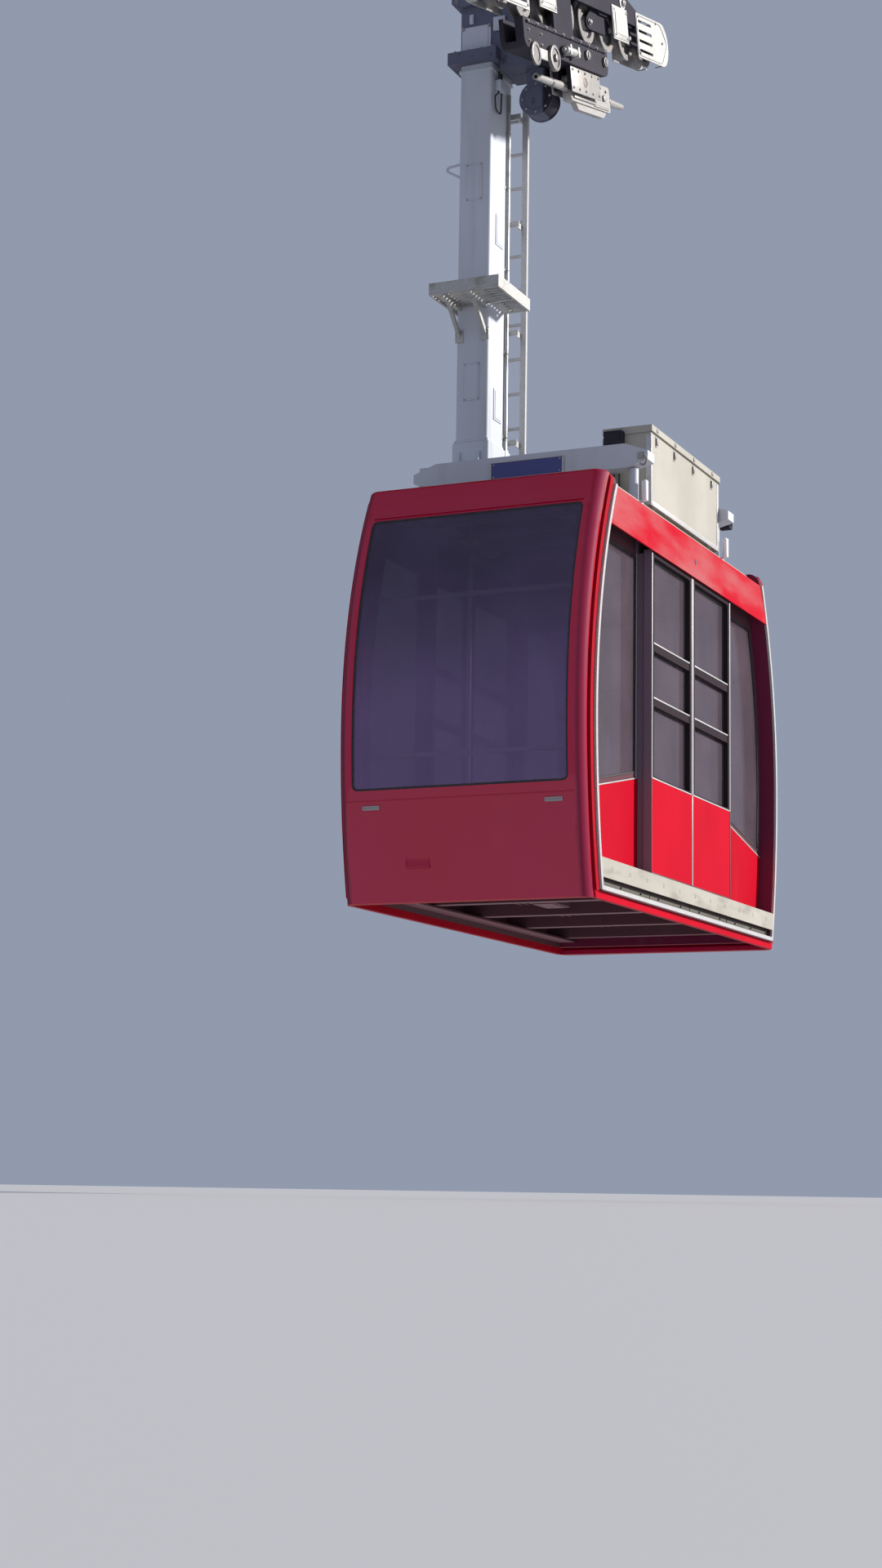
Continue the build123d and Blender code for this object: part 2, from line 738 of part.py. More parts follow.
# Hanger column with its foot and a hand loop
with BuildPart() as hanger_column:
    sections = (  # lower height, upper height, growth all round
        (beam_top_h + seat, foot_top_h, foot_grow),
        (foot_top_h, collar_low_h, 0.0),
    )
    for low, high, grow in sections:
        with BuildSketch(Plane.XY.offset(level(low))):
            with Locations((0, column_y)):
                RectangleRounded(column_deep + 2 * grow, column_wide + 2 * grow, column_corner)
        extrude(amount=high - low)
    with BuildSketch(Plane.XY.offset(level(beam_top_h) - 1)):
        with Locations((0, column_y)):
            inner_deep = column_deep - 2 * column_wall
            inner_wide = column_wide - 2 * column_wall
            RectangleRounded(inner_deep, inner_wide, column_corner - column_wall)
    extrude(amount=collar_low_h - beam_top_h - column_wall, mode=Mode.SUBTRACT)
    outside = column_y - column_wide / 2
    with BuildLine(Plane.YZ.offset(column_deep / 3)) as loop_path:
        FilletPolyline(
            (outside + column_wall / 2, level(loop_low_h + loop_high)),
            (outside - loop_out, level(loop_low_h + loop_high - 20)),
            (outside + column_wall / 2, level(loop_low_h)),
            radius=loop_r * 2,
        )
    with BuildSketch(Plane(origin=loop_path.line @ 0, z_dir=loop_path.line % 0)):
        Circle(loop_r)
    sweep(path=loop_path.line)
save(hanger_column, "hanger_column")

# Hanger head: a collar on the column's top, a box arm that leads from it to the pivot, and a wide crown
with BuildPart() as hanger_head:
    head_top = pivot_z + head_over_pivot
    collar_z = (level(collar_low_h) + seat, level(collar_low_h) + collar_high)
    inner_face = collar_y[1] + seat
    with BuildSketch(Plane.YZ.offset(-head_half)):
        with BuildLine():
            Polyline(
                (head_y[0], collar_z[0] + 1),
                (head_y[0], head_top),
                (head_y[1], head_top),
                (head_y[1], level(head_low_h) + head_chamfer),
                (head_y[1] - head_chamfer, level(head_low_h)),
                (inner_face, level(head_low_h)),
                (inner_face, collar_z[0] + 1),
                close=True,
            )
        make_face()
    extrude(amount=2 * head_half)
    block((-collar_half, collar_half), collar_y, collar_z)
    block((-crown_half, crown_half), crown_y, (level(crown_low_h), head_top))
    outer_edges = hanger_head.edges().filter_by(Axis.X)
    outer_edges = outer_edges.filter_by_position(Axis.Y, crown_y[0] - 1, collar_y[0] + 10)
    chamfer(outer_edges, collar_high / 3)
    hub_face = head_y[1]
    with BuildSketch(side_plane(hub_face)):
        with Locations((0, pivot_z)):
            Circle(hub_r)
    extrude(amount=hub_long)
    with BuildSketch(side_plane(hub_face + 1)):
        with Locations((0, pivot_z)):
            Circle(pin_r + pin_play)
    extrude(amount=hub_long + 2, mode=Mode.SUBTRACT)
save(hanger_head, "hanger_head")

with BuildPart() as swing_damper:
    drum_h = damper_low_h + damper_r
    with BuildSketch(Plane.YZ.offset(-damper_long / 2)):
        with Locations((damper_y, level(drum_h))):
            Circle(damper_r)
    extrude(amount=damper_long)
    neck_z = (level(drum_h), level(head_low_h) - seat)
    block(about(0, damper_neck), about(damper_y, damper_neck), neck_z)
save(swing_damper, "swing_damper")

# Ladder
with BuildPart() as ladder:
    for edge in (-1, 1):
        y = column_y + edge * ladder_half
        stile = (y - stile_wide / 2, y + stile_wide / 2)
        x = (ladder_x - stile_deep / 2, ladder_x + stile_deep / 2)
        block(x, stile, (level(ladder_low_h), level(ladder_top_h)))
    rungs = 1 + int((ladder_top_h - ladder_low_h - rung_first - rung_r) // rung_step)
    for step in range(rungs):
        with Locations((ladder_x, column_y, level(ladder_low_h + rung_first + step * rung_step))):
            Cylinder(rung_r, 2 * ladder_half, rotation=(90, 0, 0))
    bracket_step = (ladder_top_h - foot_top_h - 4 * bracket_high) / (ladder_brackets - 1)
    for step in range(ladder_brackets):
        bracket_z = about(level(foot_top_h + 2 * bracket_high + step * bracket_step), bracket_high)
        back = -column_deep / 2 - seat
        block((back - bracket_wall, back), about(column_y, 2 * ladder_half), bracket_z)
        for tie_y in about(column_y, 2 * ladder_half - stile_wide):
            block((ladder_x, back), about(tie_y, bracket_wall), bracket_z)
save(ladder, "ladder")

# Work platform: framed grating round two sides of the column, a toe rim and two struts
with BuildPart() as platform:
    deck_z = (level(deck_h), level(deck_h + deck_wall))
    block(deck_x, deck_y, deck_z)
    hole_x = (deck_x[0] + 2 * deck_bar, deck_x[1] - 2 * deck_bar)
    hole_y = (deck_y[0] + 2 * deck_bar, deck_y[1] - 2 * deck_bar)
    block(hole_x, hole_y, deck_z, Mode.SUBTRACT)
    bars = int((hole_x[1] - hole_x[0]) // deck_pitch)
    for step in range(1, bars + 1):
        x = hole_x[0] + step * deck_pitch
        block((x - deck_bar / 2, x + deck_bar / 2), deck_y, (deck_z[0] + 4, deck_z[1]))
    for share in (0.25, 0.5, 0.75):
        y = deck_y[0] + share * (deck_y[1] - deck_y[0])
        block(deck_x, about(y, deck_bar - 2), (deck_z[0] + 4, deck_z[1] - 4))
    toe = (deck_z[0], deck_z[0] + toe_high)
    block(deck_x, (deck_y[1] - toe_wall, deck_y[1]), toe)
    block((deck_x[1] - toe_wall, deck_x[1]), deck_y, toe)
    block(deck_x, (deck_y[0], deck_y[0] + toe_wall), toe)
    stay_x = column_deep / 2 + deck_play
    around = (column_y - column_wide / 2 - deck_play, column_y + column_wide / 2 + deck_play)
    block((stay_x, stay_x + toe_wall * 3), deck_y, deck_z)
    block((deck_x[0] - 1, stay_x), around, (deck_z[0] - 1, deck_z[1] + 1), Mode.SUBTRACT)
    for edge in (-1, 1):
        y = column_y + edge * (column_wide / 2 - strut_wide)
        with BuildSketch(side_plane(y + strut_wide / 2)):
            with BuildLine():
                face = column_deep / 2 + seat
                Polyline(
                    (face, deck_z[0] - strut_drop),
                    (face, deck_z[0] - strut_drop + 40),
                    (deck_x[1] - strut_back, deck_z[0] - bearer_high),
                    (face, deck_z[0] - bearer_high),
                    (face, deck_z[0] + 5),
                    (deck_x[1] - 1, deck_z[0] + 5),
                    (deck_x[1] - 1, deck_z[0] - bearer_high),
                    (deck_x[1] - strut_back + 40, deck_z[0] - bearer_high),
                    close=True,
                )
            make_face()
        extrude(amount=strut_wide)
save(platform, "platform")


# Carriage planes: local x along the rope towards the front, local y square to it
def rope_plane(y):
    origin = (carriage_s * cos(slope), rope_y + y, -carriage_s * sin(slope))
    return Plane(origin=origin, x_dir=(cos(slope), 0, -sin(slope)), z_dir=(0, -1, 0))


def rope_block(u, w, y, mode=Mode.ADD):
    """Box between two values along the rope, two square to it and two across."""
    with BuildSketch(rope_plane(y[1])) as side:
        with Locations(((u[0] + u[1]) / 2, (w[0] + w[1]) / 2)):
            Rectangle(u[1] - u[0], w[1] - w[0])
    extrude(side.sketch, amount=y[1] - y[0], mode=mode)


def plates(y_pair, discs, holes=()):
    """A pair of plates, each the hull round some discs, with round holes."""
    for side_name, side in sides:
        low, high = mirrored(side, *y_pair)
        with BuildSketch(rope_plane(high)) as plate:
            for u, w, r in discs:
                with Locations((u, w)):
                    Circle(r)
            make_hull()
            for u, w, r in holes:
                with Locations((u, w)):
                    Circle(r, mode=Mode.SUBTRACT)
        extrude(plate.sketch, amount=high - low)


def cross_pin(u, w, r, y_low, y_high, mode=Mode.ADD):
    with BuildSketch(rope_plane(y_high)) as disc:
        with Locations((u, w)):
            Circle(r)
    extrude(disc.sketch, amount=y_high - y_low, mode=mode)


roller_u = [(step - 3.5) * roller_pitch for step in range(8)]
pair_u = [roller_pitch * step for step in (-3, -1, 1, 3)]
main_u = [roller_pitch * step for step in (-2, 2)]

# Rollers: grooved wheels with a web and hub
for number, u in enumerate(roller_u, start=1):
    with BuildPart() as roller:
        centre = rope_plane(0).from_local_coords(Vector(u, axle_w, 0))
        half = roller_wide / 2
        with BuildSketch(Plane(origin=centre, x_dir=(1, 0, 0), z_dir=(0, 0, 1))):
            with BuildLine():
                groove = ThreePointArc(
                    (roller_flange_r - 6, -rope_r),
                    (roller_r, 0),
                    (roller_flange_r - 6, rope_r),
                )
                Polyline(
                    groove @ 1,
                    (roller_flange_r, half - 4),
                    (roller_flange_r - 4, half),
                    (roller_r - 22, half),
                    (roller_r - 34, 12),
                    (axle_r + 26, 12),
                    (axle_r + 20, half),
                    (axle_r + pin_play, half),
                    (axle_r + pin_play, -half),
                    (axle_r + 20, -half),
                    (axle_r + 26, -12),
                    (roller_r - 34, -12),
                    (roller_r - 22, -half),
                    (roller_flange_r - 4, -half),
                    (roller_flange_r, 4 - half),
                    groove @ 0,
                )
            make_face()
        revolve(axis=Axis(centre, (0, 1, 0)))
    save(roller, f"roller_{number}")

with BuildPart() as roller_rockers:
    for middle in pair_u:
        axle_u = (middle - roller_pitch / 2, middle + roller_pitch / 2)
        discs = [(u, axle_w, 46) for u in axle_u] + [(middle, rocker_top_w, 54)]
        plates(rocker_y, discs, [(middle, rocker_top_w, link_pin_r + pin_play)])
        for u in axle_u:
            cross_pin(u, axle_w, axle_r, -rocker_y[1] - 4, rocker_y[1] + 4)
save(roller_rockers, "roller_rockers")

with BuildPart() as main_rockers:
    for middle in main_u:
        low_u = (middle - roller_pitch, middle + roller_pitch)
        discs = [(u, rocker_top_w, 56) for u in low_u] + [(middle, main_rocker_top_w, 74)]
        plates(main_rocker_y, discs, [(middle, main_rocker_top_w, link_pin_r + pin_play)])
        for u in low_u:
            cross_pin(u, rocker_top_w, link_pin_r, -main_rocker_y[1] - 4, main_rocker_y[1] + 4)
save(main_rockers, "main_rockers")

with BuildPart() as carriage_frame:
    crown_w = frame_top_w - 60
    beam_discs = [(u, main_rocker_top_w, 80) for u in main_u]
    beam_discs += [(u, crown_w, 60) for u in (-roller_pitch, roller_pitch)]
    beam_discs += [(u, guard_top_w - 50, 50) for u in (-frame_tip_u, frame_tip_u)]
    plates(frame_y, beam_discs)
    for u in main_u:
        cross_pin(u, main_rocker_top_w, link_pin_r, -frame_y[1], frame_y[1])
    for u in (-roller_pitch, roller_pitch):
        cross_pin(u, crown_w, 40, -frame_y[0] - 1, frame_y[0] + 1)
    cross_pin(0, pivot_w, pin_r + 38, -frame_y[1] - 14, frame_y[1] + 6)
    cross_pin(0, pivot_w, pin_r + seat, -frame_y[1] - 15, frame_y[1] + 7, Mode.SUBTRACT)
    rope_block(strap_u, (brake_w[1] + seat, main_rocker_top_w), frame_y)
save(carriage_frame, "carriage_frame")

# Track brake: a channel round the lower half of the rope, carried by the frame's strap, with the grip's yoke
with BuildPart() as track_brake:
    rope_block(brake_u, brake_w, brake_y)
    corners = track_brake.edges().filter_by(Axis.Y).sort_by(Axis.X)
    fillet([corners[0], corners[2]], brake_round)
    channel_u = (brake_u[0] - 1, brake_u[1] + 1)
    channel_w = (brake_w[0] + brake_floor, beyond)
    rope_block(channel_u, channel_w, (-rope_room, rope_room), Mode.SUBTRACT)
    yoke_w = (yoke_low_w, brake_w[0] - seat)
    for u in yoke_u:
        for side_name, side in sides:
            rope_block(about(u, yoke_wide), yoke_w, mirrored(side, grip_wide / 2 + seat, yoke_half))
save(track_brake, "track_brake")

with BuildPart() as pivot_pin:
    cap_y = rope_y + frame_y[1] + 6 + seat
    with BuildSketch(side_plane(cap_y)):
        with Locations((0, pivot_z)):
            Circle(pin_r)
    extrude(amount=cap_y - hub_face + hub_long - 1)
    with BuildSketch(side_plane(cap_y + pin_cap)):
        with Locations((0, pivot_z)):
            RegularPolygon(pin_r + 20, 6)
    extrude(amount=pin_cap)
save(pivot_pin, "pivot_pin")

# Rope guards: louvred cheeks beside the outer rollers with a hood over each rounded nose, and cover plates
with BuildPart() as rope_guards:
    inner_y = frame_y[1] + seat
    outer_y = inner_y + guard_wall
    guard_w = (guard_low_w + guard_top_w) / 2
    guard_high = guard_top_w - guard_low_w
    for end_name, end in ends:
        with BuildSketch(rope_plane(outer_y)) as cheek:
            with Locations((end * (guard_start + guard_end) / 2, guard_w)):
                Rectangle(guard_end - guard_start, guard_high)
            nose = cheek.vertices().sort_by(Axis.X)
            fillet(nose[2:] if end > 0 else nose[:2], guard_round)
        extrude(amount=2 * outer_y)
        hood_u = mirrored(end, hood_start, guard_end - guard_wall)
        open_u = mirrored(end, guard_start - beyond, hood_start)
        under_u = mirrored(end, guard_start - beyond, guard_end - guard_round)
        across = (-inner_y, inner_y)
        rope_block(hood_u, (guard_low_w + guard_wall, guard_top_w - guard_wall), across, Mode.SUBTRACT)
        rope_block(open_u, (guard_low_w - beyond, guard_top_w + beyond), across, Mode.SUBTRACT)
        rope_block(under_u, (guard_low_w - beyond, guard_low_w + guard_wall), across, Mode.SUBTRACT)
        for step in range(4):
            with BuildSketch(rope_plane(outer_y + 1)):
                with Locations((end * louvre_mid, guard_top_w - louvre_step * (step + 0.8))):
                    SlotOverall(louvre_long, louvre_high)
            extrude(amount=2 * outer_y + 2, mode=Mode.SUBTRACT)
        nose_u = mirrored(end, hood_start, guard_end + 1)
        rope_block(nose_u, (guard_low_w - 1, rope_room), (-rope_room, rope_room), Mode.SUBTRACT)
        for side_name, side in sides:
            rope_block(mirrored(end, *cover_u), cover_w, mirrored(side, inner_y, outer_y))
save(rope_guards, "rope_guards")

# Haul rope grip: a clamp body with a keel, a long tail tube and a nose cone, held between the yoke's cheeks
with BuildPart() as rope_grip:
    mouth = grip_wide / 2
    grip_w = -haul_drop
    with BuildSketch(rope_plane(mouth)):
        with Locations((grip_mid, grip_w)):
            RectangleRounded(2 * grip_half, grip_high, 30)
            with GridLocations(grip_half * 1.6, grip_high * 0.6, 2, 2):
                Circle(11, mode=Mode.SUBTRACT)
    extrude(amount=grip_wide)
    with BuildSketch(rope_plane(grip_keel_half)):
        with BuildLine():
            Polyline(
                (grip_mid - grip_half + 30, grip_w),
                (grip_mid - grip_half + 30, grip_keel_w + 60),
                (grip_mid - grip_half + 120, grip_keel_w),
                (grip_mid + grip_half - 160, grip_keel_w),
                (grip_mid + grip_half - 30, grip_w),
                close=True,
            )
        make_face()
    extrude(amount=2 * grip_keel_half)
    direction = rope_plane(0).x_dir
    for start, length in ((grip_mid - grip_half, -grip_nose), (grip_mid + grip_half, grip_tail)):
        base = rope_plane(0).from_local_coords(Vector(start, grip_w, 0))
        with BuildSketch(Plane(origin=base, z_dir=direction)):
            Circle(mouth - 1)
        with BuildSketch(Plane(origin=base + direction * length, z_dir=direction)):
            Circle(haul_r + grip_lip)
        loft()
    bore_start = rope_plane(0).from_local_coords(Vector(grip_mid - grip_half - grip_nose - 1, grip_w, 0))
    with BuildSketch(Plane(origin=bore_start, z_dir=direction)):
        Circle(haul_r + haul_play)
    extrude(amount=grip_nose + 2 * grip_half + grip_tail + 2, mode=Mode.SUBTRACT)
save(rope_grip, "rope_grip")

# Inside the cabin: grab poles and end handrails
with BuildPart() as grab_poles:
    for x in (-pole_x, pole_x):
        for y in (-pole_y, pole_y):
            with Locations((x, y, level(floor_top_h) + seat)):
                upright = (Align.CENTER, Align.CENTER, Align.MIN)
                Cylinder(pole_r, roof_low_h - floor_top_h - 2 * seat, align=upright)
save(grab_poles, "grab_poles")

with BuildPart() as end_handrails:
    for end_name, end in ends:
        half = panel_face - panel_wall - seat
        for rise in handrail_rise:
            x = end * (reach(floor_top_h + rise, frame_inner) - handrail_in)
            with Locations((x, 0, level(floor_top_h + rise))):
                Cylinder(handrail_r, 2 * half, rotation=(90, 0, 0))
save(end_handrails, "end_handrails")
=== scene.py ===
"""Looks of a cable car cabin with its hanger and rope carriage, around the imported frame.

Metres. The frame's origin lies on the track rope, +X looks out of the front end wall, +Y out of the left
door side, +Z up. Cabin pieces are drawn as (x, y, h), with y from the cabin's middle plane and h above its
lower edge. Carriage pieces are drawn as (u, y, w), with u along the rope to the front and w square to it.
"""
import json
from math import cos, radians, sin, sqrt, tan

import bpy
from mathutils import Matrix, Vector


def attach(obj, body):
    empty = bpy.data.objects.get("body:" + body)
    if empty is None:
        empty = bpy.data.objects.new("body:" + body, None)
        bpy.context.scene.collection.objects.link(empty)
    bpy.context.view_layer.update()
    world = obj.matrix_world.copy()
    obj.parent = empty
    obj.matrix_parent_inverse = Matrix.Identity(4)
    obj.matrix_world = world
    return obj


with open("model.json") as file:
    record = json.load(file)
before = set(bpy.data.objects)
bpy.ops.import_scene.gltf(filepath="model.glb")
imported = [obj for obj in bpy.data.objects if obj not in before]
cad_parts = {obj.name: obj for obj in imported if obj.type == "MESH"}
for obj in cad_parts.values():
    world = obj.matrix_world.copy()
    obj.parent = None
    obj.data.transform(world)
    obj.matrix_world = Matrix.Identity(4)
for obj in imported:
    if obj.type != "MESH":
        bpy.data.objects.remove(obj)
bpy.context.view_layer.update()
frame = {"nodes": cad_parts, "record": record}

# Main sizes, as in the frame
ROPE_HEIGHT = 6.193
MIDDLE = 0.100
ROPE_SLOPE = radians(14.7)
PIVOT_W = 0.470
WAIST_HEIGHT = 1.130
WAIST_X = 1.800
UPPER_RADIUS = 3.400
LOWER_RADIUS = 5.000
SHELL_REACH = 0.110
BELT_HEIGHT = 0.849
BELT_FALL = 0.2085
DOOR_HALF = 0.777
DOOR_FACE = 0.814
PANEL_FACE = 0.7193
FASCIA_LOW = 2.289
DOOR_TOP = 2.284
DOORWAY_HALF = 0.800
SILL_TOP = 0.252
RAIL_TOP = 0.0790
LEAF_OUTER = 0.771
FRAME_BAND = 0.055
SLIM_EDGE = 0.013
HEAD_SIDE = -0.140

CARRIAGE_START = -PIVOT_W * tan(ROPE_SLOPE)
CABIN = Matrix.Translation((0.0, MIDDLE, -ROPE_HEIGHT))
CARRIAGE = Matrix.Translation(
    (CARRIAGE_START * cos(ROPE_SLOPE), 0.0, -CARRIAGE_START * sin(ROPE_SLOPE))
) @ Matrix.Rotation(ROPE_SLOPE, 4, "Y")

# Camera, fitted to the cabin's edges in the photograph
CAMERA_PLACE = Vector((15.959, 6.439, -7.902))
CAMERA_YAW = radians(204.63)
CAMERA_PITCH = radians(8.81)
CAMERA_ROLL = radians(0.87)
FOCAL_PIXELS = 3215.1
IMAGE_LONG_SIDE = 1920
SENSOR = 36.0
FLOOR_BELOW_CAMERA = 0.05
FLOOR_SIZE = 1800.0

# Light: a pale blue sky and the sun on the left door side
SKY_COLOUR = (0.68, 0.77, 1.0, 1.0)
SKY_STRENGTH = 0.42
SUN_COLOUR = (1.0, 0.96, 0.90)
SUN_STRENGTH = 6.4
SUN_ANGLE = radians(6.0)
SUN_TOWARDS = Vector((0.45, -0.82, -0.37))


def level(height):
    """Z of a height above the cabin's lower edge."""
    return height - ROPE_HEIGHT


def reach(height, grow):
    """X of the cabin's side outline at a height, grown outwards by a distance."""
    radius = UPPER_RADIUS if height > WAIST_HEIGHT else LOWER_RADIUS
    return WAIST_X - radius + sqrt((radius + grow) ** 2 - (height - WAIST_HEIGHT) ** 2)


def belt(x):
    """Height of the red panels' upper edge."""
    return BELT_HEIGHT - max(0.0, abs(x) - DOOR_HALF) * BELT_FALL


class Field:
    """A value or colour that varies over a surface: an output socket with arithmetic."""

    def __init__(self, finish, socket):
        self.finish = finish
        self.socket = socket

    def _math(self, operation, *values):
        return self.finish.node("ShaderNodeMath", {"operation": operation}, dict(enumerate(values)))

    def __add__(self, other):
        return self._math("ADD", self, other)

    def __mul__(self, other):
        return self._math("MULTIPLY", self, other)

    def __sub__(self, other):
        return self._math("SUBTRACT", self, other)

    def __rsub__(self, other):
        return self._math("SUBTRACT", other, self)

    def __abs__(self):
        return self._math("ABSOLUTE", self)

    def above(self, start, end):
        """0 under start and 1 over end, smooth between them."""
        ramp = {"interpolation_type": "SMOOTHSTEP"}
        values = {"Value": self, "From Min": start, "From Max": end}
        return self.finish.node("ShaderNodeMapRange", ramp, values)

    def below(self, start, end):
        """1 under start and 0 over end, smooth between them."""
        return 1 - self.above(start, end)

    def largest(self, other):
        """The larger of two values."""
        return self._math("MAXIMUM", self, other)

    def root(self):
        """The square root."""
        return self._math("SQRT", self)

    def to_grid(self, step):
        """Distance from the nearest whole step."""
        return abs(self - self._math("SNAP", self + step / 2, step))


class Finish:
    """One material and its nodes."""

    def __init__(self, name):
        self.material = bpy.data.materials.new(name)
        self.material.use_nodes = True
        self.tree = self.material.node_tree
        self.surface = self.tree.nodes["Principled BSDF"]
        self.place = self.node("ShaderNodeTexCoord", output="Object")

    def node(self, kind, settings=None, values=None, output=0):
        """Makes a node: its settings first, then its sockets' values or links."""
        made = self.tree.nodes.new(kind)
        for name, value in (settings or {}).items():
            setattr(made, name, value)
        for name, value in (values or {}).items():
            self._feed(made.inputs[name], value)
        return Field(self, made.outputs[output])

    def _feed(self, socket, value):
        if isinstance(value, Field):
            self.tree.links.new(value.socket, socket)
        elif hasattr(value, "__len__") and len(value) == 3 and socket.type == "RGBA":
            socket.default_value = (*value, 1.0)
        else:
            socket.default_value = value

    def set(self, **values):
        """Sets or links sockets of the surface; an underscore in a name stands for a space."""
        for name, value in values.items():
            self._feed(self.surface.inputs[name.replace("_", " ")], value)

    def noise(self, scale, detail=3.0, stretch=(1.0, 1.0, 1.0)):
        """Cloudy noise from 0 to 1; a small stretch draws it out along that axis."""
        place = self.node("ShaderNodeMapping", None, {"Vector": self.place, "Scale": stretch})
        return self.node("ShaderNodeTexNoise", None, {"Vector": place, "Scale": scale, "Detail": detail})

    def mix(self, factor, a, b):
        """Colour a where factor is 0 and b where it is 1."""
        return self.node("ShaderNodeMix", {"data_type": "RGBA"}, {0: factor, 6: a, 7: b}, output=2)

    def axis(self, index):
        """One coordinate of the surface point."""
        return self.node("ShaderNodeSeparateXYZ", None, {0: self.place}, output=index)

    def facing(self, index):
        """One coordinate of the surface normal."""
        normal = self.node("ShaderNodeNewGeometry", output="Normal")
        return self.node("ShaderNodeSeparateXYZ", None, {0: normal}, output=index)

    def bump(self, height, distance, strength=1.0):
        """Raises the surface by a height from 0 to 1, at most by a distance in metres."""
        values = {"Height": height, "Distance": distance, "Strength": strength}
        self.set(Normal=self.node("ShaderNodeBump", None, values))


def tint(colour, factor):
    """The colour made darker or lighter."""
    return tuple(min(1.0, part * factor) for part in colour)


def weathered(finish, base, rough, grime, dust_amount):
    """Rain streaks down what stands up, dust on what faces up, and scattered scuffs over a base colour."""
    upright = finish.facing(2).below(0.3, 0.7)
    streaks = finish.noise(7.0, 4.0, (1.0, 1.0, 0.06)).above(0.54, 0.80) * upright
    base = finish.mix(streaks * grime, base, tint(DUST, 0.45))
    settled = finish.facing(2).above(0.5, 0.95) * finish.noise(14.0, 5.0).above(0.35, 0.7)
    base = finish.mix(settled * dust_amount, base, DUST)
    scuffs = finish.noise(30.0, 6.0, (1.0, 1.0, 0.5)).above(0.68, 0.78) * finish.noise(2.1).above(0.45, 0.7)
    base = finish.mix(scuffs * (0.5 * grime), base, DUST)
    roughness = finish.noise(23.0) * 0.08 + (rough - 0.04) + settled * 0.2 + scuffs * 0.1
    finish.set(Base_Color=base, Roughness=roughness)


def paint(name, colour, rough, coat, grime=0.2, dust_amount=0.25):
    """Sprayed paint with a faint cloudiness and orange peel."""
    finish = Finish(name)
    base = finish.mix(finish.noise(1.3, 4.0).above(0.3, 0.7), tint(colour, 0.92), tint(colour, 1.06))
    weathered(finish, base, rough, grime, dust_amount)
    finish.set(Coat_Weight=coat, Coat_Roughness=0.06, Specular_IOR_Level=0.25)
    finish.bump(finish.noise(160.0, 2.0), 0.0002, 0.5)
    return finish.material


def rail_painted_shade(finish):
    """1 on the faces of the lower rails that look down or inwards, where it paints shade, and on their lower
    third, which it darkens too.
    """
    across = finish.axis(1) - MIDDLE
    low = finish.axis(2).below(level(RAIL_TOP - 0.0005), level(RAIL_TOP)) * abs(across).above(0.70, 0.72)
    inward_shade = (across * finish.facing(1)).below(-0.5, -0.3)
    shaded = inward_shade.largest(finish.facing(2).below(-0.7, -0.5))
    return low * shaded.largest(finish.axis(2).below(level(0.052), level(0.054)))


def metal(name, colour, rough, spots, shine, grain=(1.0, 1.0, 1.0), rails=False):
    """Metal dulled by weather: spangle, brushed grain and dull spots, and painted shade on the lower rails'
    underside.
    """
    finish = Finish(name)
    cells = {"Vector": finish.place, "Scale": 90.0}
    spangle = finish.node("ShaderNodeTexVoronoi", None, cells, output="Distance")
    grained = finish.noise(60.0, 6.0, grain)
    dull = finish.noise(7.0, 6.0).above(0.50, 0.72) * spots
    base = finish.mix(spangle.above(0.1, 0.7), tint(colour, 0.86), tint(colour, 1.08))
    base = finish.mix(dull, base, STAIN)
    if rails:
        # Painted shade on the lower rails' inner and lower faces
        base = finish.mix(rail_painted_shade(finish), base, DARK)
    finish.set(Base_Color=base, Metallic=shine, Specular_IOR_Level=0.25)
    finish.set(Roughness=grained * 0.2 + (rough - 0.1) + dull * 0.25)
    finish.bump(grained, 0.0003)
    return finish.material


def rubber(name, colour):
    """Black sealing rubber, a little uneven."""
    finish = Finish(name)
    finish.set(Base_Color=finish.mix(finish.noise(40.0).above(0.4, 0.7), colour, tint(colour, 1.8)))
    finish.set(Roughness=finish.noise(90.0) * 0.2 + 0.5)
    finish.bump(finish.noise(600.0, 2.0), 0.0003)
    return finish.material


def glass(name, side_tint, end_tint_and_reflection, alpha):
    """Tinted panes, half see-through, with cloudy haze and water marks; the panes that look endways take a
    lighter, more purple colour, a painted sky reflection on panes in shade, darker towards the top.
    """
    finish = Finish(name)
    haze = finish.noise(2.3, 4.0).above(0.30, 0.75)
    marks = finish.noise(24.0, 3.0, (1.0, 1.0, 0.05)).above(0.55, 0.8) * finish.noise(1.6).above(0.4, 0.7)
    endways = abs(finish.facing(0)).above(0.6, 0.8)
    low = finish.axis(2).below(level(0.9), level(2.25))
    # Painted sky reflection: end panes take the lighter purple colour, darker towards the top
    end = finish.mix(low * 0.85 + haze * 0.15, tint(end_tint_and_reflection, 0.30), end_tint_and_reflection)
    base = finish.mix(endways, finish.mix(haze * 0.6, side_tint, tint(side_tint, 1.4)), end)
    finish.set(Base_Color=finish.mix(marks * 0.10, base, tint(end_tint_and_reflection, 1.8)), IOR=1.5)
    finish.set(Roughness=haze * 0.04 + 0.03 + marks * 0.06, Alpha=haze * 0.08 + alpha + marks * 0.04)
    finish.material.surface_render_method = "BLENDED"
    return finish.material


RED = (0.40, 0.002, 0.014)
SHADED_RED = (0.18, 0.022, 0.060)
# a red lighter and bluer than the body red: a painted purple sky sheen on the end shells
SHEEN_RED = (0.47, 0.006, 0.060)
# a lighter pinkish red: a painted sky glare on the fascias
GLARE_RED = (0.38, 0.105, 0.112)
DARK = (0.105, 0.046, 0.058)
# a lighter plum for faces that look down: painted light on the underside
UNDERSIDE_PAINTED_LIGHT = (0.210, 0.100, 0.120)
DARK_EDGE = (0.030, 0.022, 0.027)
JAMB = (0.210, 0.150, 0.200)
CREAM = (0.355, 0.335, 0.290)
GREY = (0.50, 0.53, 0.60)
DUST = (0.36, 0.33, 0.30)
STAIN = (0.16, 0.13, 0.11)
SILL_GRIME = (0.20, 0.18, 0.155)
SCREW_RIM = (0.05, 0.045, 0.04)
GREASE = (0.025, 0.022, 0.022)


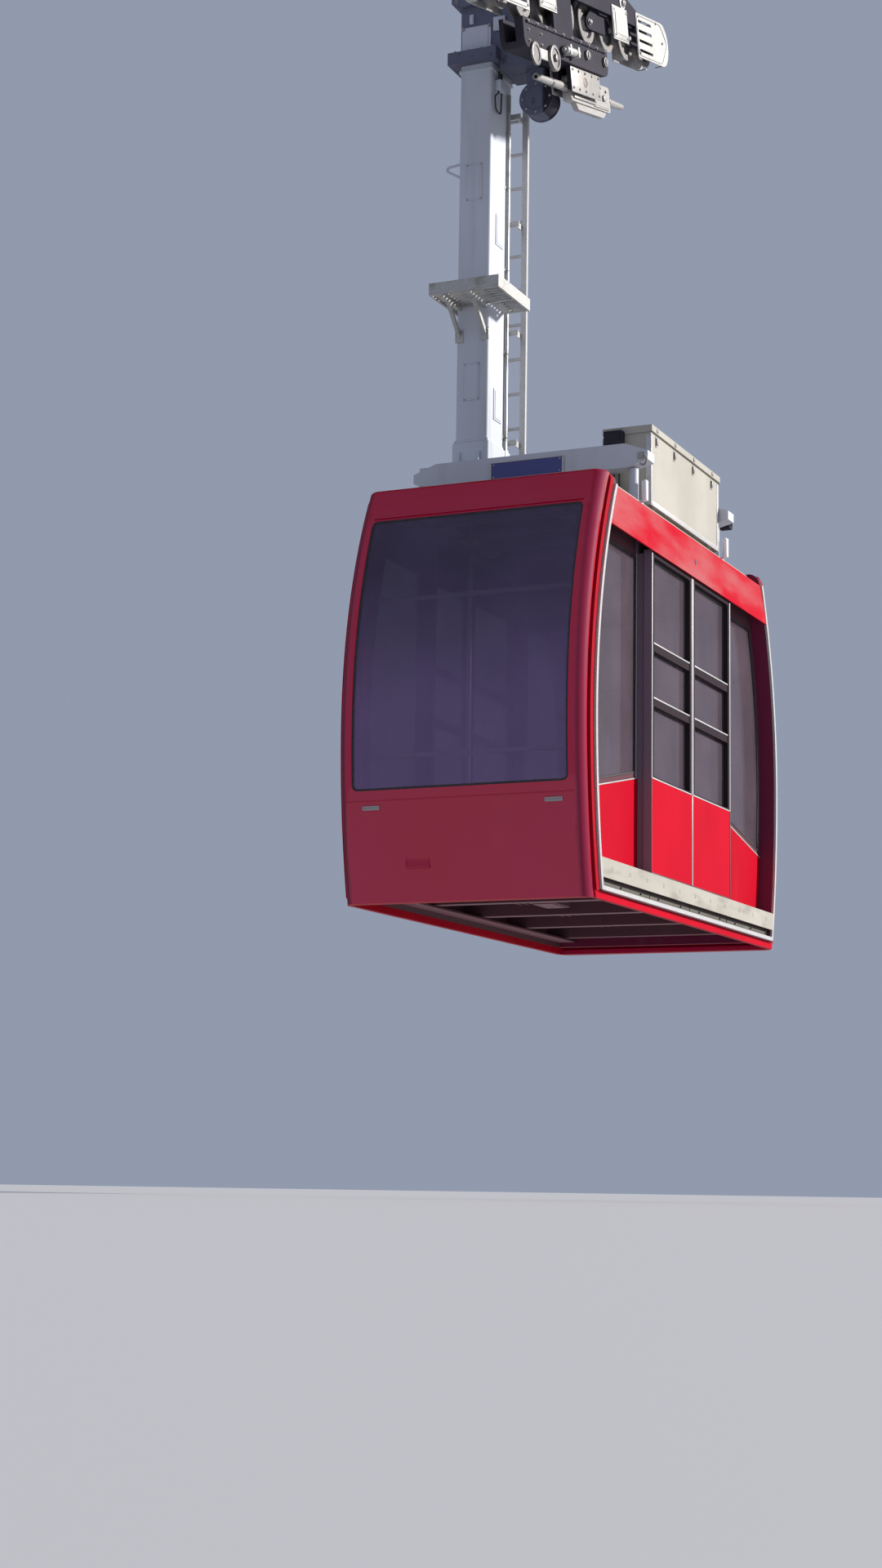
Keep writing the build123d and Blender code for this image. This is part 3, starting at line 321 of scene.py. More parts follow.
def red_paint():
    """Body paint: glossy on the ends, with a painted sky sheen in their colour; painted shade round their
    corners; a painted sky glare on the fascias.
    """
    finish = Finish("red_paint")
    sideways = abs(finish.facing(1)).above(0.6, 0.8)
    # Painted sky glare: faces that look sideways above the fascia's lower edge turn a mottled lighter pink
    glare_band = sideways * finish.axis(2).above(level(FASCIA_LOW) - 0.02, level(FASCIA_LOW) - 0.005)
    clouds = finish.noise(1.3, 4.0).above(0.3, 0.7)
    fresh = finish.mix(clouds, tint(RED, 0.90), tint(RED, 1.06))
    patches = finish.noise(5.0, 4.0, (0.3, 1.0, 1.0)).above(0.3, 0.7)
    glared = finish.mix(patches, tint(RED, 1.05), GLARE_RED)
    # Painted shade: the shells' rounded corners take a darker shaded crimson, so that they do not light up
    corner = abs(finish.facing(0)).above(0.12, 0.30) * abs(finish.facing(1)).above(0.20, 0.50)
    # Painted sky sheen: faces that look endways get the lighter, bluer red; the same mask also sets the coat
    glossy_and_sheen = abs(finish.facing(0)).above(0.80, 0.97)
    fresh = finish.mix(glossy_and_sheen * (1 - clouds * 0.3), fresh, SHEEN_RED)
    base = finish.mix(corner * 0.8, finish.mix(glare_band * 0.85, fresh, glared), SHADED_RED)
    weathered(finish, base, 0.45, grime=0.05, dust_amount=0.3)
    finish.set(Coat_Weight=glossy_and_sheen * 0.55, Coat_Roughness=0.05, Coat_IOR=1.75, Specular_IOR_Level=0.03)
    finish.bump(finish.noise(9.0, 2.0, (1.0, 1.0, 0.5)), 0.002, 0.25)
    return finish.material


def door_paint():
    """Door leaves: red under the belt, dark round the panes and on the inner and narrow faces."""
    finish = Finish("door_paint")
    outward = abs(finish.facing(1)).above(0.6, 0.8) * abs(finish.axis(1) - MIDDLE).above(0.800, 0.806)
    outermost = abs(finish.axis(0)).above(LEAF_OUTER - 0.001, LEAF_OUTER + 0.001)
    edge = abs(finish.facing(0)).above(0.6, 0.8) * outermost
    lower = finish.axis(2).below(level(BELT_HEIGHT) - 0.002, level(BELT_HEIGHT) + 0.002)
    red = finish.mix(finish.noise(1.3, 4.0).above(0.3, 0.7), tint(RED, 0.92), tint(RED, 1.06))
    base = finish.mix(outward * lower, finish.mix(edge, DARK_EDGE, JAMB), red)
    weathered(finish, base, 0.45, grime=0.05, dust_amount=0.1)
    finish.set(Specular_IOR_Level=0.03)
    finish.bump(finish.noise(120.0, 2.0), 0.0002, 0.4)
    return finish.material


def dark_paint():
    """Dark body paint; the end frames are red outside their slim edge, with painted shade in a shaded crimson
    on their faces that look inwards, and faces that look down are lightened as painted light.
    """
    finish = Finish("dark_paint")
    x, height = abs(finish.axis(0)), finish.axis(2) - level(WAIST_HEIGHT)
    arcs = []
    for radius in (UPPER_RADIUS, LOWER_RADIUS):
        run = x + (radius - WAIST_X)
        arcs.append((run * run + height * height).root() - radius)
    upper = height.above(-0.001, 0.001)
    outline = arcs[0] * upper + arcs[1] * (1 - upper)
    outside = outline.above(-SLIM_EDGE - 0.002, -SLIM_EDGE)
    # Painted shade: the end frames' faces that look inwards take a shaded crimson
    inward_shade = outline.above(-FRAME_BAND - 0.005, -FRAME_BAND)
    inward_shade = inward_shade * (finish.axis(0) * finish.facing(0)).below(-0.8, -0.6)
    base = finish.mix(finish.noise(1.3, 4.0).above(0.3, 0.7), tint(DARK, 0.92), tint(DARK, 1.06))
    in_doorway = x.below(DOORWAY_HALF - 0.001, DOORWAY_HALF + 0.001)
    jamb = in_doorway * height.above(SILL_TOP - WAIST_HEIGHT, SILL_TOP + 0.002 - WAIST_HEIGHT)
    # Painted light: faces that look down are lightened to the underside plum
    base = finish.mix(finish.facing(2).below(-0.7, -0.5), finish.mix(jamb, base, JAMB), UNDERSIDE_PAINTED_LIGHT)
    base = finish.mix(inward_shade, finish.mix(outside, base, tint(RED, 0.8)), SHADED_RED)
    weathered(finish, base, 0.5, grime=0.1, dust_amount=0.12)
    finish.set(Specular_IOR_Level=0.06)
    finish.bump(finish.noise(120.0, 2.0), 0.0002, 0.4)
    return finish.material


def light_paint():
    """Pale sheet metal, with flat screws and grime along the door sills."""
    finish = Finish("light_paint")
    base = finish.mix(finish.noise(1.9, 4.0).above(0.3, 0.7), tint(CREAM, 0.88), tint(CREAM, 1.06))
    height = finish.axis(2)
    on_sill = height.below(level(SILL_TOP - 0.002), level(SILL_TOP))
    along = finish.axis(0).to_grid(0.30)
    across = height - level(0.190)
    apart = (along * along + across * across).root()
    screw = apart.below(0.011, 0.013) * on_sill
    rim = screw * apart.above(0.007, 0.010)
    grime = finish.noise(9.0, 6.0, (0.35, 1.0, 1.6)).above(0.50, 0.80) * on_sill
    base = finish.mix(grime * 0.8, base, SILL_GRIME)
    weathered(finish, finish.mix(rim, base, SCREW_RIM), 0.45, grime=0.15, dust_amount=0.45)
    finish.set(Coat_Weight=0.1, Coat_Roughness=0.2)
    finish.bump(screw, 0.001, 0.6)
    return finish.material


def carriage_paint():
    """Machine paint: dark on the carriage, lighter grey on the hanger's head and damper beside it."""
    finish = Finish("carriage_paint")
    head = finish.axis(1).below(HEAD_SIDE - 0.020, HEAD_SIDE)
    clouds = finish.noise(1.7, 5.0).above(0.3, 0.7)
    dark = finish.mix(clouds, (0.026, 0.024, 0.036), (0.040, 0.037, 0.050))
    grey = finish.mix(clouds, (0.105, 0.110, 0.160), (0.140, 0.148, 0.210))
    grease = finish.noise(16.0, 5.0).above(0.58, 0.72)
    base = finish.mix(grease * 0.5, finish.mix(head, dark, grey), GREASE)
    weathered(finish, base, 0.55, grime=0.1, dust_amount=0.3)
    finish.set(Specular_IOR_Level=0.06)
    finish.bump(finish.noise(160.0, 2.0), 0.0003, 0.5)
    return finish.material


def ribbed_floor():
    """Dark floor covering with raised studs."""
    finish = Finish("floor_covering")
    along, across = finish.axis(0).to_grid(0.025), finish.axis(1).to_grid(0.025)
    stud = (along * along + across * across).root().below(0.006, 0.009)
    wear = finish.noise(4.0, 5.0).above(0.4, 0.7)
    finish.set(Base_Color=finish.mix(wear * 0.6, (0.035, 0.035, 0.04), (0.10, 0.09, 0.085)))
    finish.set(Roughness=wear * 0.2 + 0.5)
    finish.bump(stud, 0.002, 0.8)
    return finish.material


MATERIALS = {
    "red_paint": red_paint(),
    "door_paint": door_paint(),
    "dark_paint": dark_paint(),
    # the second colour is the end panes' tint with a painted sky reflection
    "tinted_glass": glass("tinted_glass", (0.085, 0.064, 0.080), (0.190, 0.125, 0.290), 0.60),
    "light_paint": light_paint(),
    "grey_paint": paint("grey_paint", GREY, rough=0.5, coat=0.0, grime=0.3, dust_amount=0.3),
    "sign_paint": paint("sign_paint", (0.060, 0.070, 0.24), rough=0.35, coat=0.3),
    "aluminium_trim": metal(
        "aluminium_trim", (0.46, 0.46, 0.46), 0.36, spots=0.12, shine=0.25, grain=(1.0, 1.0, 0.04), rails=True
    ),
    "galvanised": metal("galvanised", (0.41, 0.41, 0.40), 0.45, spots=0.5, shine=0.3),
    "carriage_paint": carriage_paint(),
    "roller_iron": metal("roller_iron", (0.20, 0.19, 0.19), 0.42, spots=0.6, shine=0.5),
    "plain_steel": metal("plain_steel", (0.35, 0.34, 0.33), 0.38, spots=0.5, shine=0.3),
    "stainless": metal(
        "stainless", (0.82, 0.82, 0.84), 0.22, spots=0.05, shine=0.3, grain=(1.0, 1.0, 0.1)
    ),
    "floor_covering": ribbed_floor(),
}
SEAL_RUBBER = rubber("seal_rubber", (0.018, 0.017, 0.02))
CEILING_BOARD = paint("ceiling_board", (0.55, 0.50, 0.62), rough=0.5, coat=0.0, grime=0.05)
CEILING_LENS = paint("ceiling_lens", (0.85, 0.83, 0.86), rough=0.3, coat=0.3, grime=0.05)
# a very dark strip colour: painted shade in the band under the sills
VALANCE_PAINTED_SHADE = paint("valance", (0.085, 0.078, 0.066), rough=0.6, coat=0.0, grime=0.5, dust_amount=0.5)
LAMP_LENS = paint("lamp_lens", (0.34, 0.31, 0.32), rough=0.15, coat=0.8, grime=0.05)

AHEAD, LEFT, UP, DOWN = (1, 0, 0), (0, 1, 0), (0, 0, 1), (0, 0, -1)
AXES = {"X": Vector(AHEAD), "Y": Vector(LEFT), "Z": Vector(UP)}
TURNS = {"X": (0, radians(90), 0), "Y": (radians(90), 0, 0), "Z": (0, 0, 0)}
SMOOTH_ANGLE = 35
BEAD_HALF = 0.004


def alone(made):
    """Only this piece is selected and active."""
    bpy.ops.object.select_all(action="DESELECT")
    made.select_set(True)
    bpy.context.view_layer.objects.active = made


def fix_place(made):
    """Moves the object's place, turn and scale into its mesh."""
    alone(made)
    bpy.ops.object.transform_apply(location=True, rotation=True, scale=True)


def choose(made, test=None):
    """Edit mode, with those faces selected whose middle and normal pass the test."""
    alone(made)
    bpy.context.tool_settings.mesh_select_mode = (False, False, True)
    bpy.ops.object.mode_set(mode="EDIT")
    bpy.ops.mesh.select_all(action="DESELECT")
    bpy.ops.object.mode_set(mode="OBJECT")
    for face in made.data.polygons:
        face.select = test is None or test(face.center, face.normal)
    bpy.ops.object.mode_set(mode="EDIT")


def soften(made, edge, test=None):
    """Rounds the edges of the faces that pass the test."""
    choose(made, test)
    bpy.ops.mesh.bevel(offset=edge, segments=2, affect="EDGES")
    bpy.ops.object.mode_set(mode="OBJECT")


def press(made, towards, inset, push):
    """Insets the outermost flat face that looks one way, and moves its middle along that way."""
    towards = Vector(towards)
    flat = [face for face in made.data.polygons if face.normal.dot(towards) > 0.98]
    far = max(face.center.dot(towards) for face in flat)
    choose(made, lambda centre, normal: normal.dot(towards) > 0.98 and centre.dot(towards) > far - 1e-4)
    bpy.ops.mesh.inset(thickness=inset)
    bpy.ops.mesh.extrude_region_move(TRANSFORM_OT_translate={"value": towards * push})
    bpy.ops.object.mode_set(mode="OBJECT")
    return made


def slide_face(made, towards, move, taper=1.0):
    """Moves the face at one end, which shears or slants the piece."""
    towards = Vector(towards)
    choose(made, lambda centre, normal: normal.dot(towards) > 0.98)
    bpy.ops.transform.translate(value=move)
    if taper != 1.0:
        bpy.ops.transform.resize(value=(taper, taper, taper))
    bpy.ops.object.mode_set(mode="OBJECT")
    return made


def block(low, high, edge=0.002):
    """Box between two corners with rounded edges."""
    bpy.ops.object.select_all(action="DESELECT")
    bpy.ops.mesh.primitive_cube_add(size=1.0)
    made = bpy.context.object
    made.location = [(a + b) / 2 for a, b in zip(low, high)]
    made.scale = [b - a for a, b in zip(low, high)]
    fix_place(made)
    if edge:
        soften(made, edge)
    return made


def disc(centre, radius, long, axis="Y", sides=32, edge=0.0):
    """Round or many-sided boss about a middle point, with rounded rims."""
    bpy.ops.object.select_all(action="DESELECT")
    bpy.ops.mesh.primitive_cylinder_add(
        vertices=sides, radius=radius, depth=long, location=centre, rotation=TURNS[axis]
    )
    made = bpy.context.object
    fix_place(made)
    if edge:
        soften(made, edge, lambda middle, normal: abs(normal.dot(AXES[axis])) > 0.98)
    return made


def ring(centre, radius, thick, axis="X", sides=32):
    """Round ring about a middle point."""
    bpy.ops.object.select_all(action="DESELECT")
    bpy.ops.mesh.primitive_torus_add(
        major_radius=radius, minor_radius=thick, major_segments=sides, minor_segments=10,
        location=centre, rotation=TURNS[axis],
    )
    made = bpy.context.object
    fix_place(made)
    return made


def rounded(points, bend, closed=False):
    """The points with each corner cut to a small arc."""
    points = [Vector(point) for point in points]
    last = len(points) - 1
    path = []
    for index, corner in enumerate(points):
        if not closed and index in (0, last):
            path.append(corner)
            continue
        before, after = points[index - 1], points[(index + 1) % len(points)]
        room = min((corner - before).length, (after - corner).length) / 2.05
        start = corner + (before - corner).normalized() * min(bend, room)
        end = corner + (after - corner).normalized() * min(bend, room)
        for step in range(5):
            share = step / 4
            path.append((1 - share) ** 2 * start + 2 * share * (1 - share) * corner + share**2 * end)
    return path


def rod(points, radius, bend=0.0, closed=False):
    """Round bar, pipe or seal along a path."""
    path = rounded(points, bend, closed) if bend else [Vector(point) for point in points]
    bpy.ops.object.select_all(action="DESELECT")
    bpy.ops.curve.primitive_nurbs_path_add()
    made = bpy.context.object
    curve = made.data
    curve.splines.clear()
    spline = curve.splines.new("POLY")
    spline.points.add(len(path) - 1)
    for point, place in zip(spline.points, path):
        point.co = (*place, 1.0)
    spline.use_cyclic_u = closed
    curve.dimensions = "3D"
    curve.bevel_depth = radius
    curve.bevel_resolution = 2
    curve.use_fill_caps = not closed
    alone(made)
    bpy.ops.object.convert(target="MESH")
    made = bpy.context.object
    choose(made)
    bpy.ops.mesh.remove_doubles(threshold=0.00001)
    bpy.ops.mesh.normals_make_consistent(inside=False)
    bpy.ops.object.mode_set(mode="OBJECT")
    return made


def joined(*parts):
    """The parts as one piece."""
    bpy.ops.object.select_all(action="DESELECT")
    for part in parts:
        part.select_set(True)
    bpy.context.view_layer.objects.active = parts[0]
    if len(parts) > 1:
        bpy.ops.object.join()
    return parts[0]


def copied(made, place=(0, 0, 0), turn=(0, 0, 0), scale=(1, 1, 1)):
    """A copy in its own mesh."""
    copy = made.copy()
    copy.data = made.data.copy()
    bpy.context.collection.objects.link(copy)
    copy.location, copy.rotation_euler, copy.scale = place, turn, scale
    fix_place(copy)
    if scale[0] * scale[1] * scale[2] < 0:
        choose(copy)
        bpy.ops.mesh.normals_make_consistent(inside=False)
        bpy.ops.object.mode_set(mode="OBJECT")
    return copy


def spread(made, places, turn=(0, 0, 0)):
    """The piece at each place, joined, without the first one."""
    copies = [copied(made, place, turn) for place in places]
    bpy.data.objects.remove(made)
    return joined(*copies)


def both_ends(made):
    """The piece and its mirror image at the other end."""
    return joined(made, copied(made, scale=(-1, 1, 1)))


def both_sides(made):
    """The piece and its mirror image on the other side."""
    return joined(made, copied(made, scale=(1, -1, 1)))


def bolts(places, size, towards):
    """Hexagon bolts on washers that look one way."""
    washer = disc((0, 0, 0.1 * size), 1.05 * size, 0.2 * size, "Z", 20, 0.04 * size)
    head = disc((0, 0, 0.5 * size), 0.78 * size, 0.62 * size, "Z", 6, 0.08 * size)
    end = disc((0, 0, 0.85 * size), 0.42 * size, 0.3 * size, "Z", 14, 0.05 * size)
    turn = Vector(towards).to_track_quat("Z", "Y").to_euler()
    return spread(joined(washer, head, end), places, turn)


def settle(made, name, body, slot, place=CABIN, material=None):
    """Names and places a finished piece, and gives it its finish and its body."""
    made.matrix_world = place
    fix_place(made)
    made.name = name
    made.data.name = name
    made.data.materials.clear()
    made.data.materials.append(material or MATERIALS[slot])
    alone(made)
    bpy.ops.object.shade_smooth_by_angle(angle=radians(SMOOTH_ANGLE))
    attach(made, body)
    return made


def dress_frame():
    """Every CAD node gets its slot's material."""
    slots = {row["node"]: row["material_slot"] for row in frame["record"]["subparts"]}
    for name, node in frame["nodes"].items():
        material = MATERIALS[slots[name]]
        if node.material_slots:
            for place in node.material_slots:
                place.material = material
        else:
            node.data.materials.append(material)


LEAVES = [(end, side) for end in ("front", "rear") for side in ("left", "right")]
WAY = {"front": 1, "rear": -1, "left": 1, "right": -1}


def on_leaves(made, name, slot, material=None):
    """The piece, drawn for the front left leaf, on all four door leaves."""
    for end, side in LEAVES:
        copy = copied(made, scale=(WAY[end], WAY[side], 1))
        settle(copy, f"{name}_{end}_{side}", f"door_{end}_{side}", slot, material=material)
    bpy.data.objects.remove(made)


def door_fittings():
    """Edge profiles, belt line and pane seals of the door leaves, and light beads along the bars' tops that
    stand for their sunlit edges, as painted highlights.
    """
    pane = [(0.055, 0.868), (0.725, 0.868), (0.725, 2.256), (0.055, 2.256)]
    seal = rod([(x, 0.779, h) for x, h in pane], 0.006, 0.014, True)
    on_leaves(seal, "pane_seal", "dark_paint", SEAL_RUBBER)
    inner, outer = DOOR_FACE, DOOR_FACE + 0.0025
    low, high = 0.258, 0.844
    fine = 0.0008
    edges = []
    for start, end in ((0.0045, 0.0185), (0.7615, 0.7755)):
        edges.append(block((start, inner, BELT_HEIGHT), (end, outer, DOOR_TOP), fine))
    bead = (BELT_HEIGHT - BEAD_HALF, BELT_HEIGHT + BEAD_HALF)
    edges.append(block((0.019, inner, bead[0]), (0.761, outer, bead[1]), fine))
    # Painted highlights: light beads along the bars' top edges
    for h in (1.357, 1.705):
        edges.append(block((0.050, 0.8102, h), (0.730, 0.8135, h + 0.009), fine))
    on_leaves(joined(*edges), "leaf_profile", "aluminium_trim")
    meeting = block((0.0035, inner, low), (0.0105, outer, high), fine)
    on_leaves(meeting, "meeting_edge", "aluminium_trim")
    lower = [block((0.7675, inner, low), (0.7765, outer, high), fine)]
    lower.append(block((0.0035, inner, 0.2525), (0.7765, outer, 0.2575), fine))
    on_leaves(joined(*lower), "leaf_seal", "dark_paint", SEAL_RUBBER)


def window_seals():
    """Rubber seals round the end windows and the fixed side windows."""
    half, low, high, corner, sunk, steps = 0.699, 0.678, 2.398, 0.036, 0.0088, 14
    rises = [(high - low) * step / steps for step in range(1, steps)]
    path = [(-half, low), (half, low)] + [(half, low + rise) for rise in rises]
    path += [(half, high), (-half, high)] + [(-half, high - rise) for rise in rises]
    loop = rod([(reach(h, SHELL_REACH - sunk), y, h) for y, h in path], 0.0085, corner, True)
    settle(both_ends(loop), "end_window_seals", "cabin", "dark_paint", material=SEAL_RUBBER)

    start, top, low, grow, over_belt, steps = 0.805, 2.257, 0.70, -0.1105, 0.039, 12
    outer = [top - (top - low) * step / steps for step in range(steps + 1)]
    curve = [(reach(h, grow), h) for h in outer]
    path = [(start, top)] + [point for point in curve if point[1] > belt(point[0]) + over_belt + 0.006]
    end_x = path[-1][0]
    path += [(end_x, belt(end_x) + over_belt), (start, belt(start) + over_belt)]
    loop = rod([(x, 0.7145, h) for x, h in path], 0.0055, 0.012, True)
    settle(both_sides(both_ends(loop)), "side_window_seals", "cabin", "dark_paint", material=SEAL_RUBBER)


def side_profiles():
    """Belt line of the red panels, doorway profiles, the fascia's lock, and valances under the sills,
    coloured very dark as painted shade.
    """
    outer = PANEL_FACE + 0.0022
    end_x = 1.724
    line = block((DOOR_HALF, PANEL_FACE, BELT_HEIGHT - BEAD_HALF), (end_x, outer, BELT_HEIGHT + BEAD_HALF), 0)
    slide_face(line, AHEAD, (0, 0, belt(end_x) - BELT_HEIGHT))
    soften(line, 0.0008)
    upright = block((0.784, 0.7153, 0.853), (0.797, 0.7185, DOOR_TOP), 0.001)
    settle(both_sides(both_ends(joined(line, upright))), "side_profiles", "cabin", "aluminium_trim")

    lock = disc((-0.021, 0.8305, 2.397), 0.017, 0.006, "Y", 28, 0.001)
    press(lock, LEFT, 0.004, -0.002)
    key = block((-0.024, 0.829, 2.385), (-0.018, 0.8325, 2.396), 0.0008)
    settle(joined(lock, key), "fascia_lock", "cabin", "dark_paint")

    lengths = [(-1.742, -0.756), (-0.744, -0.006), (0.006, 0.744), (0.756, 1.742)]
    face = 0.7963
    # Painted shade: dark strips fill the band under the sills
    strips = [block((low, 0.7903, 0.0788), (high, face, 0.1286), 0.0015) for low, high in lengths]
    settle(both_sides(joined(*strips)), "sill_valances", "cabin", "grey_paint", material=VALANCE_PAINTED_SHADE)
    places = (-1.60, -1.26, -0.92, -0.60, -0.18, 0.18, 0.60, 0.92, 1.26, 1.60)
    screws = [(x, face, 0.104) for x in places]
    settle(both_sides(bolts(screws, 0.008, LEFT)), "valance_screws", "cabin", "carriage_paint")


def end_fittings():
    """Marker lamps, a moulding and a vent low on the end shells, and a drip lip over the windows."""
    face = reach(0.566, SHELL_REACH)
    lamps = []
    for y in (-0.578, 0.611):
        lamp = block((face - 0.004, y - 0.056, 0.553), (face + 0.009, y + 0.056, 0.579), 0.003)
        lamps.append(press(lamp, AHEAD, 0.005, -0.004))
    settle(both_ends(joined(*lamps)), "marker_lamps", "cabin", "light_paint", material=LAMP_LENS)

    line_x = reach(0.610, SHELL_REACH)
    moulding = rod([(line_x, -0.742, 0.610), (line_x, 0.742, 0.610)], 0.0035)
    lip_x = reach(2.425, SHELL_REACH)
    lip = block((lip_x - 0.004, -0.70, 2.421), (lip_x + 0.010, 0.70, 2.427), 0.0015)
    settle(both_ends(joined(moulding, lip)), "shell_mouldings", "cabin", "red_paint")

    vent_x = reach(0.235, SHELL_REACH)
    plate = block((vent_x - 0.012, -0.365, 0.196), (vent_x + 0.005, -0.205, 0.276), 0.003)
    vent = [press(plate, AHEAD, 0.006, -0.004)]
    for h in (0.214, 0.232, 0.250):
        blade = block((vent_x - 0.004, -0.350, h), (vent_x + 0.003, -0.220, h + 0.009), 0)
        vent.append(slide_face(blade, AHEAD, (0, 0, -0.006)))
    settle(both_ends(joined(*vent)), "shell_vents", "cabin", "red_paint")


def ceiling():
    """Ribs, side boards and lamp strips under the roof."""
    ribs = []
    for x in (-1.45, -1.10, -0.75, 0.0, 0.35, 0.70, 1.05, 1.40):
        rib = block((x - 0.035, -0.64, 2.512), (x + 0.035, 0.64, 2.5515), 0.004)
        ribs.append(press(rib, DOWN, 0.008, 0.006))
    for y in (-0.655, 0.655):
        ribs.append(block((-1.50, y - 0.028, 2.470), (1.50, y + 0.028, 2.5515), 0.008))
    settle(joined(*ribs), "ceiling_ribs", "cabin", "light_paint", material=CEILING_BOARD)
    lamps = []
    for y in (-0.56, 0.30):
        lamp = block((0.10, y - 0.045, 2.520), (1.35, y + 0.045, 2.5515), 0.006)
        lamps.append(press(lamp, DOWN, 0.010, -0.004))
    settle(joined(*lamps), "ceiling_lamps", "cabin", "light_paint", material=CEILING_LENS)


def roof_fittings():
    """Beads on the roof, hatch handle, post bolts, sign rim, buffers, hook and work lamp."""
    beads = []
    for y in (-0.60, 0.17, 0.33):
        beads.append(block((-1.30, y - 0.018, 2.5920), (1.30, y + 0.018, 2.6010), 0.004))
    for y in (-0.735, 0.735):
        beads.append(block((-1.36, y - 0.012, 2.5920), (1.36, y + 0.012, 2.6120), 0.004))
    settle(joined(*beads), "roof_beads", "cabin", "light_paint")

    places = []
    for x in (-0.8, 0.8):
        for y in (-0.7, 0.7):
            places += [(x + 0.047 * a, y + 0.047 * b, 2.6145) for a in (-0.7, 0.7) for b in (-0.7, 0.7)]
    settle(bolts(places, 0.010, UP), "post_bolts", "cabin", "plain_steel")

    x = 0.8685
    rim = []
    for y in (-0.262, 0.243):
        rim.append(block((x - 0.008, y - 0.006, 2.833), (x + 0.004, y + 0.006, 2.949), 0.001))
    for h in (2.833, 2.943):
        rim.append(block((x - 0.008, -0.256, h), (x + 0.004, 0.237, h + 0.006), 0.001))
    settle(joined(*rim), "sign_rim", "cabin", "aluminium_trim")
    corners = [(x, y, h) for y in (-0.240, 0.221) for h in (2.852, 2.930)]
    settle(bolts(corners, 0.006, AHEAD), "sign_screws", "cabin", "plain_steel")

    buffer = disc((0, 0, 0.065), 0.021, 0.130, "Z", 24, 0.003)
    press(buffer, UP, 0.007, 0.006)
    buffers = spread(buffer, [(x, 0.775, 2.6125) for x in (-0.8, 0.8)])
    settle(buffers, "roof_buffers", "cabin", "light_paint", material=CEILING_LENS)

    path = [(0.862, 0.770, 2.895), (0.880, 0.800, 2.895), (0.880, 0.822, 2.860)]
    path += [(0.880, 0.800, 2.822), (0.880, 0.770, 2.836)]
    hook = rod(path, 0.007, 0.02)
    foot = block((0.8603, 0.750, 2.872), (0.8703, 0.792, 2.915), 0.002)
    settle(joined(hook, press(foot, AHEAD, 0.006, 0.004)), "lifting_hook", "cabin", "plain_steel")

    body = block((-1.055, 0.660, 2.868), (-0.985, 0.745, 2.958), 0.010)
    press(body, LEFT, 0.010, -0.008)
    arm = block((-0.99, 0.690, 2.885), (-0.855, 0.716, 2.897), 0.002)
    settle(joined(body, arm), "work_lamp", "cabin", "carriage_paint")

    x, start, end, low, top = -0.20, -0.26, -0.12, 2.636, 2.668
    handle = rod([(x, start, low), (x, start, top), (x, end, top), (x, end, low)], 0.007, 0.02)
    feet = [disc((x, y, 2.6385), 0.014, 0.005, "Z", 20, 0.001) for y in (start, end)]
    settle(joined(handle, *feet), "hatch_handle", "roof_hatch", "plain_steel")


def box_fittings():
    """Angles, latches and keepers, lid stiffeners, and the control unit with its conduits."""
    low, high = (-0.735, 0.417, 2.6393), (0.610, 0.745, 3.1593)
    out, wide, foot_out, fine = 0.003, 0.034, 0.0035, 0.001
    bottom, top = low[2] + fine, high[2] - 0.050
    angles = []
    for x, way in ((low[0], 1), (high[0], -1)):
        for y, side in ((low[1], 1), (high[1], -1)):
            flange_x = sorted((x - way * out, x + way * wide))
            flange_y = sorted((y - side * out, y + side * wide))
            skin_x = sorted((x, x - way * out))
            skin_y = sorted((y, y - side * out))
            angles.append(block((flange_x[0], skin_y[0], bottom), (flange_x[1], skin_y[1], top), fine))
            angles.append(block((skin_x[0], flange_y[0], bottom), (skin_x[1], flange_y[1], top), fine))
    for y, side in ((low[1], 1), (high[1], -1)):
        run = sorted((y, y - side * foot_out))
        start, end = low[0] + wide, high[0] - wide
        angles.append(block((start, run[0], bottom), (end, run[1], low[2] + wide), fine))
    settle(joined(*angles), "box_angles", "cabin", "aluminium_trim")

    plate = block((-0.013, 0.7452, 3.040), (0.013, 0.7492, 3.112), 0.001)
    lever = block((-0.009, 0.7490, 3.052), (0.009, 0.7600, 3.100), 0.003)
    latch = joined(press(plate, LEFT, 0.004, 0.001), press(lever, LEFT, 0.003, -0.002))
    places = [(x, 0, 0) for x in (0.516, 0.17, -0.20, -0.58)]
    settle(spread(latch, places), "box_latches", "cabin", "plain_steel")
    keeper = block((-0.010, 0.7555, 3.132), (0.010, 0.7620, 3.160), 0.002)
    settle(spread(press(keeper, LEFT, 0.003, 0.001), places), "lid_keepers", "box_lid", "plain_steel")
    top = 3.1676
    ribs = []
    for x in (-0.45, -0.06, 0.33):
        ribs.append(block((x - 0.02, 0.450, top - 0.0005), (x + 0.02, 0.720, top + 0.006), 0.003))
    lip = block((-0.742, 0.7552, 3.1235), (0.617, 0.7592, 3.1300), 0.0015)
    settle(joined(lip, *ribs), "lid_stiffeners", "box_lid", "light_paint")

    unit = block((0.610, 0.440, 3.030), (0.668, 0.568, 3.140), 0.006)
    press(unit, AHEAD, 0.012, 0.008)
    glands = [disc((0.640, y, 3.022), 0.011, 0.022, "Z", 16, 0.002) for y in (0.470, 0.505, 0.540)]
    settle(joined(unit, *glands), "control_unit", "cabin", "carriage_paint")
    pipes = []
    for y, drop in ((0.470, 2.70), (0.505, 2.66), (0.540, 2.62)):
        ends = [(0.640, y, 3.015), (0.640, y, drop), (0.560, y, drop), (0.560, y, 2.594)]
        pipes.append(rod(ends, 0.006, 0.04))
    settle(joined(*pipes), "unit_conduits", "cabin", "dark_paint", material=SEAL_RUBBER)


